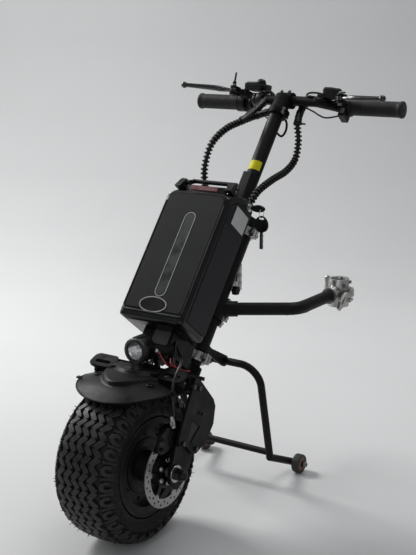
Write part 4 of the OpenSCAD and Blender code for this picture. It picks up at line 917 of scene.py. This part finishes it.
# Wires and connectors at the junction box
RED_WIRES = [
    [(30, 66, 206), (36, 60, 203), (44, 60, 193), (52, 62, 184), (54, 74, 180)],
    [(54, 70, 196), (61, 60, 189), (75, 60, 184), (89, 62, 180), (94, 76, 176)],
]
DARK_WIRES = [
    [(20, 62, 190), (34, 78, 192), (30, 96, 200), (24, 110, 214)],
    [(38, 62, 188), (50, 76, 186), (40, 100, 190), (30, 112, 210)],
    [(-14, 80, 186), (-24, 90, 190), (-20, 106, 204)],
    [(0, 82, 196), (10, 90, 202), (6, 102, 213)],
    [(60, 66, 186), (66, 86, 184), (48, 108, 190), (34, 116, 208)],
    [(70, 60, 182), (58, 74, 196), (44, 96, 206), (35, 112, 216)],
]
cable("red_wires", wires(RED_WIRES, 1.7), RED_WIRE, AXLE)
plugs = [box([14, 26], [56, 66], [186, 196], 2, 0.8), box([31, 43], [58, 66], [182, 193], 2, 0.8),
         box([-6, 6], [56, 64], [184, 189], 1.5, 0.6)]
cable("wire_plugs", plugs, GREY_PLASTIC, AXLE)
cable("dark_wires", wires(DARK_WIRES, 2.4), JACKET, AXLE)
cover_plate = box([-8, 30], [222, 252], [0, 2.4], 4, 0.8)
black_part("junction_front", cover_plate, GREY_PLASTIC, COLUMN @ move((0, -60, 0)) @ TO_FRONT)

# Grips with rings of ribs, a flared end and a rounded edge
GRIP_END, GRIP_RIB = 262, 4.4


def grip(x0):
    profile = [(11.2, x0), (19.6, x0), (20, x0 + 0.8), (20, x0 + 3.2), (19.4, x0 + 4), (16.6, x0 + 5)]
    x = x0 + 8
    while x < GRIP_END - 16:
        profile += [(16.6, x), (17.2, x + 0.8), (17.2, x + GRIP_RIB - 1.8), (16.6, x + GRIP_RIB - 1.0)]
        x += GRIP_RIB
    flare = [(16.8, 14), (17.6, 9), (18.6, 5.5), (18.8, 3.5), (18.2, 1.2), (16.4, 0.2), (4, 0), (3.4, 1.2)]
    return lathe(profile + [(r, GRIP_END - d) for r, d in flare], 56)


for side, x0, body, node in ((1, 136, "steering", "grip_fixed"), (-1, 150.2, "throttle", "throttle_grip")):
    piece("grip_" + SIDES[side], grip(x0), GRIP_RUBBER, body, GRIP @ FLIP[side] @ TO_X, [node])

# Brake levers: a rounded blade with its ball end and pivot eye
LEVER_PATH = even(spline([(4, -1, 0), (18, -5, 0), (42, -17, 0), (80, -26, 0), (110, -33, 0)], 12), 3)
LEVER_PIVOT = (138, -58)
BALL_R = 7.6


def blade_section(i, a):
    f = i / (len(LEVER_PATH) - 1)
    wide, thick = 8.6 - 4.0 * f, 3.8 + 3.4 * step(f / 0.3) * (1 - 0.7 * f)
    return wide * thick / hypot(thick * cos(a), wide * sin(a))


ball = [(BALL_R * sin(t), BALL_R * cos(t)) for t in np.linspace(0.06, pi - 0.06, 14)]
eye = [(8.6, -3.8), (9, -3.2), (9, 3.2), (8.6, 3.8), (3.2, 3.8), (3.2, -3.8)]
lever = [sweep(LEVER_PATH, blade_section, 16), put(lathe(ball, 28), move((114, -34, 0))),
         ring(eye, 32), box([-9, 4], [-6, 6], [-3.6, 3.6], 2, 0.8)]
for side, name in SIDES.items():
    piece("lever_blade_" + name, lever, LEVER_BLACK, "brake_lever_" + name,
          LEVER[side] @ move((*LEVER_PIVOT, 14)), ["brake_lever_" + name])
perch_bolts = put_at(cap_screw(10, 5, 2.4), [(*LEVER_PIVOT, 24)])
perch_bolts += put_at(hex_nut(11, 5, 2.6), [(*LEVER_PIVOT, 4)], rot(180, "X"))
perch_bolts += put_at(SMALL_SCREW, [(115.5, -15, 12)], rot(50, "X"))
bolts("perch_bolts", both_sides(perch_bolts, LEVER), GREY_METAL, "steering")
left_stop = lathe([(4.4, 0), (4.4, 6), (2.2, 7), (2.0, 27), (1.2, 28)], 20)
right_stop = lathe([(3.6, 0), (3.6, 4), (2.0, 5), (1.8, 16), (0.9, 17)], 20)
stops = [put(left_stop, LEVER[-1] @ move((*LEVER_PIVOT, 28))),
         put(right_stop, LEVER[1] @ move((120, -34, 29)) @ TO_X),
         put(box([145, 155], [-44, -36], [22, 31], 2, 0.8), LEVER[-1])]
black_part("lever_stops", stops, SATIN_BLACK, IDENTITY)
outlet = lathe([(5.5, 0), (5.5, 8), (4, 10), (4, 16), (2.4, 17)], 20)
bodies = [put(box([82, 122], [-40, -18], [13, 38], 6, 3), LEVER[1]),
          put(outlet, LEVER[1] @ move((84, -29, 21)) @ TO_LEFT),
          put(box([112, 134], [-40, -24], [5, 23], 4, 2), LEVER[-1])]
black_part("lever_bodies", bodies, PLASTIC, IDENTITY)
body_cap = box([84, 106], [-38, -20], [37.4, 39.4], 5, 0.8)
control("lever_body_cap", body_cap, GREY_PLASTIC, LEVER[1])

# Display with its pale window and dark dome, and the parts of the switch and the throttle housing
control("display_window", box([-20, 3], [-20, 11], [-0.2, 4], 3, 1.0), SCREEN, DISPLAY)
dome = lathe([(11, -0.4), (11, 3), (10, 6.5), (7.5, 9.4), (4, 11), (0.5, 11.4)], 36)
dome = [put(dome, move((12, -8, 0))), box([-23, 23], [-28, 28], [-6.5, -3.5], 7, 0.8)]
control("display_dome", dome, PLASTIC, DISPLAY)
knobs = [box([123, 133], [-18.5, -15.6], [-27, -13], 2, 0.8),
         box([124, 132], [11.8, 14], [-14, -9], 1.5, 0.5)]
knobs += put_at(lathe([(3.4, 0), (3.4, 2), (2.4, 2.8)], 20), [(-141, -19.5, 4)], TO_FRONT)
control("switch_knobs", knobs, GREY_PLASTIC)
dot = lathe([(2.6, 0), (2.6, 1.2), (1.8, 1.8)], 20)
control("throttle_dot", dot, WHITE, GRIP @ move((-141, -19.4, 3)) @ TO_FRONT)
throttle_rings = [band(19.6, 20.6, x, x + 1.5, 0.3, 56) for x in (-149.2, -145, -136, -133)]
control("throttle_rings", throttle_rings, PLASTIC, GRIP @ TO_X)


# Brake: cable barrel, lock nut, return spring, bolts and caliper cover
def barrel_profile(i, t):
    r = 5.6 - (0.45 if i % 2 else 0)
    return [(2.7, 0), (r, 0.4), (r, 9), (4.4, 10), (4.4, 17), (3.6, 18.4), (2.7, 18.4)]


barrel = [closed(spun(48, barrel_profile)), put(hex_nut(13, 5, 3.2), move((0, 0, -5)))]
black_part("cable_barrel", barrel, SILVER, AXLE @ move((99, 11, 90)) @ rot(8, "X"))
COIL_R, COIL_ANGLE = 6.4, 16
ARM_Y, ARM_Z = 14, 78
coil = [(69.6 + 1.9 * a / COIL_ANGLE, ARM_Y + COIL_R * cos(a), ARM_Z + COIL_R * sin(a))
        for a in np.linspace(0, COIL_ANGLE, 120)]
leg = spline([(69.6, 20.4, 78), (69.8, 27, 77), (71, 31, 75), (76, 33, 73), (81, 33.5, 72)], 6)
piece("return_spring", tube(leg[::-1] + coil[1:], 0.7, 6), COPPER, "steering", AXLE)
arm_bolts = put_at(cap_screw(9, 3, 2.2), [(72, ARM_Y, ARM_Z)], TO_LEFT)
arm_bolts += put_at(SMALL_SCREW, [(78, -9, 39)], TO_X)
bolts("caliper_arm_bolts", arm_bolts, CHROME, "caliper_arm", AXLE)
body_bolts = put_at(SMALL_SCREW, [(79.6, 36, 60), (79.6, 36, 80)], TO_LEFT)
bolts("caliper_body_bolts", body_bolts, GREY_METAL, "steering", AXLE)
shell = [(-40, 52), (-30, 44), (-8, 46), (8, 54), (30, 54), (40, 62), (40, 84), (6, 84), (-10, 92), (-28, 84),
         (-40, 66)]
adjuster = lathe([(11, 0), (11, 1), (9.5, 2), (4, 2), (4, 1)], 36)
caliper_cover = [put(prism(shell, 96.2, 104.5, 1.6), ON_SIDE)]
caliper_cover += put_at(SMALL_SCREW, [(104.2, -30, 56), (104.2, -28, 74), (104.2, 30, 72)], TO_X)
caliper_cover += put_at(adjuster, [(104.3, 4, 70)], TO_X)
black_part("caliper_cover", caliper_cover, PLASTIC)

# Plates in the blades' windows, axle washers and cap
window = [(33, 52), (42, 45), (76, 71), (49, 92)]
pockets = both_sides([put(prism(window, 114, 116, 0.3), ON_SIDE)])
black_part("blade_pockets", pockets, POCKET)
washer = ring([(8.2, -0.4), (16.4, -0.4), (16.8, 0.2), (16.4, 0.9), (8.2, 0.9)], 48)
bolts("axle_washers", both_sides(put_at(washer, [(114.4, 0, 0)], TO_X)), SILVER, "steering", AXLE)
cap = lathe([(9.6, 0), (10, 1), (9.4, 6), (8.2, 10), (5.5, 12.4), (0.6, 13)], 32)
piece("axle_caps", put_at(cap, [(126.8, 0, 0)], TO_X), PLASTIC, "steering", AXLE)

# Docking hardware on the head tube
plate = [box([18.2, 20.6], [99, 109], [338, 402], 3, 0.5), box([18.2, 22], [109, 121], [356, 370], 4, 0.6)]
piece("docking_plate", plate, SILVER, "frame", COLUMN)
dock_bolts = put_at(cap_screw(9, 5, 2.2), [(20.4, 104, 394), (20.4, 104, 346), (20.4, 115, 363)], TO_X)
bolts("docking_bolts", dock_bolts, CHROME, "frame", COLUMN)


def knob_profile(i, t):
    r = 9.4 + 0.8 * cos(6 * t)
    return [(4, 0), (r, 1), (r, 10), (r - 1.6, 12), (2, 12.4)]


knob = capped(list(zip(*spun(60, knob_profile))))
piece("docking_knob", knob, PLASTIC, "frame", COLUMN @ move((17.5, 108, 426)) @ TO_X)

# Clamp bolts and pins, then the stand's wheels with ribbed tread and reddish hub
CLAMP_AT, STAND_WHEEL_AT, STAND_HINGE = (146, 583.577, 235.268), (126, 452.33, -134), (310.484, 122.9)
stand_tread = [(15, -8.6), (18, -8.9), (20, -8.2), (20.9, -6.6)]
for k in range(5):
    z = -5.6 + 2.4 * k
    stand_tread += [(20.9, z), (20.9, z + 1.5), (20.2, z + 1.7), (20.2, z + 2.2)]
stand_tyre = ring(stand_tread + [(20.9, 6.6), (20, 8.2), (18, 8.9), (15, 8.6)], 64)
HUB_HALF = [(15.2, 8), (13.6, 8.7), (12.8, 7.2), (8, 6.8), (7, 8.6), (4.2, 8.8)]
spoke = box([7.5, 13.4], [-1.6, 1.6], [-7.6, 7.6], 0.8, 0.4)
stand_hub = [ring([(15.2, -8)] + HUB_HALF + [(r, -z) for r, z in HUB_HALF[:0:-1]], 48)]
stand_hub += [put(spoke, rot(72 * k, "Z")) for k in range(5)]
pin = lathe([(5, 0), (5, 1.4), (4, 2.4), (0.6, 2.6)], 24)
for side, name in SIDES.items():
    clamp = AXLE @ FLIP[side] @ move(CLAMP_AT)
    jaw_bolts = put_at(SMALL_SCREW, [(18, 14, z) for z in (-22, 0, 22)], rot(52, "Z") @ TO_X)
    bolts("jaw_bolts_" + name, jaw_bolts, GREY_METAL, "clamp_jaw_" + name, clamp)
    clamp_bolts = put_at(SMALL_SCREW, [(18.5, -13.5, z) for z in (-20, 20)], rot(-36, "Z") @ TO_X)
    clamp_bolts += put_at(button_screw(9, 3, 2.2), [(-8, -36, 15)])
    bolts("clamp_bolts_" + name, clamp_bolts, GREY_METAL, "frame", clamp)
    bolts("clamp_pins_" + name, put_at(pin, [(-29, 0, 30.8), (30, -9, 14.8)]), CHROME, "frame", clamp)
for side, name in SIDES.items():
    wheel = AXLE @ FLIP[side] @ move(STAND_WHEEL_AT) @ TO_X
    body = "stand_wheel_" + name
    piece("stand_tyre_" + name, stand_tyre, STAND_TYRE, body, wheel, [body])
    piece("stand_hub_" + name, stand_hub, CASTER, body, wheel)
stand_nuts = put_at(hex_nut(13, 6, 3), [(138.6, *STAND_WHEEL_AT[1:])], TO_X)
stand_nuts += put_at(button_screw(14, 3, 3), [(21, *STAND_HINGE)], TO_X)
bolts("stand_nuts", both_sides(stand_nuts), GREY_METAL, "stand", AXLE)

# Camera, light and stage
CAMERA_TURN, CAMERA_DOWN = radians(33.95), radians(13.10)
camera_data = bpy.data.cameras.new("camera")
camera_data.sensor_width = 36
camera_data.lens = 70.11
camera = new_object("camera", camera_data)
camera.location = (1.21524, -1.77893, 0.96933)
camera.rotation_euler = (pi / 2 - CAMERA_DOWN, 0, CAMERA_TURN)
scene.camera = camera

# Paper backdrop that rises behind the part; seen from behind it is clear
paper = finish("studio_paper", (0.6, 0.6, 0.6), 0.85, vary=0.03, scale=1.2, bump=0.02, grain=300)
new, shader = nodes_of(paper)
one_sided = new("MixShader")
join(new("NewGeometry"), "Backfacing", one_sided, "Fac")
join(shader, "BSDF", one_sided, 1)
join(new("BsdfTransparent"), "BSDF", one_sided, 2)
join(one_sided, "Shader", paper.node_tree.nodes["Material Output"], "Surface")
PAPER_RISE = [(-6, 0), (-2, 0), (0, 0), (1.2, 0), (2.0, 0), (2.3, 0.03), (2.6, 0.12), (2.9, 0.3), (3.1, 0.55),
              (3.25, 0.9), (3.3, 1.4), (3.3, 6)]
back = Vector((-sin(CAMERA_TURN), cos(CAMERA_TURN), 0))
across = Vector((back.y, -back.x, 0))
paper_rows = []
for d, z in PAPER_RISE:
    paper_rows.append([tuple(across * w + back * d + Vector((0, 0, z))) for w in (-7, -3, 0, 3, 7)])
backdrop_mesh = new_mesh("backdrop", *grid(paper_rows))
if backdrop_mesh.polygons[0].normal.z < 0:
    backdrop_mesh.flip_normals()
backdrop_mesh.materials.append(paper)
backdrop = new_object("backdrop", backdrop_mesh)


def lamp(name, place, target, size, power):
    data = bpy.data.lights.new(name, "AREA")
    data.shape = "RECTANGLE"
    data.size, data.size_y = size
    data.energy = power
    obj = new_object(name, data)
    obj.location = place
    obj.rotation_euler = (Vector(target) - Vector(place)).to_track_quat("-Z", "Y").to_euler()


lamp("window", (-2.6, 0.3, 2.5), (0, 0, 0.4), (1.1, 1.1), 88)
lamp("side", (-2.7, -0.5, 1.3), (0, 0, 0.45), (0.6, 1.4), 15)
lamp("overhead", (0.2, 1.2, 3.2), (0, 0, 0.3), (1.8, 1.8), 34)
lamp("front_fill", (1.4, -3.0, 1.4), (0, 0, 0.4), (1.2, 1.2), 9)
world = bpy.data.worlds.new("studio")
world.use_nodes = True
setup(world.node_tree.nodes["Background"], Color=(0.62, 0.64, 0.67, 1), Strength=0.4)
scene.world = world
scene.view_settings.view_transform = "Standard"
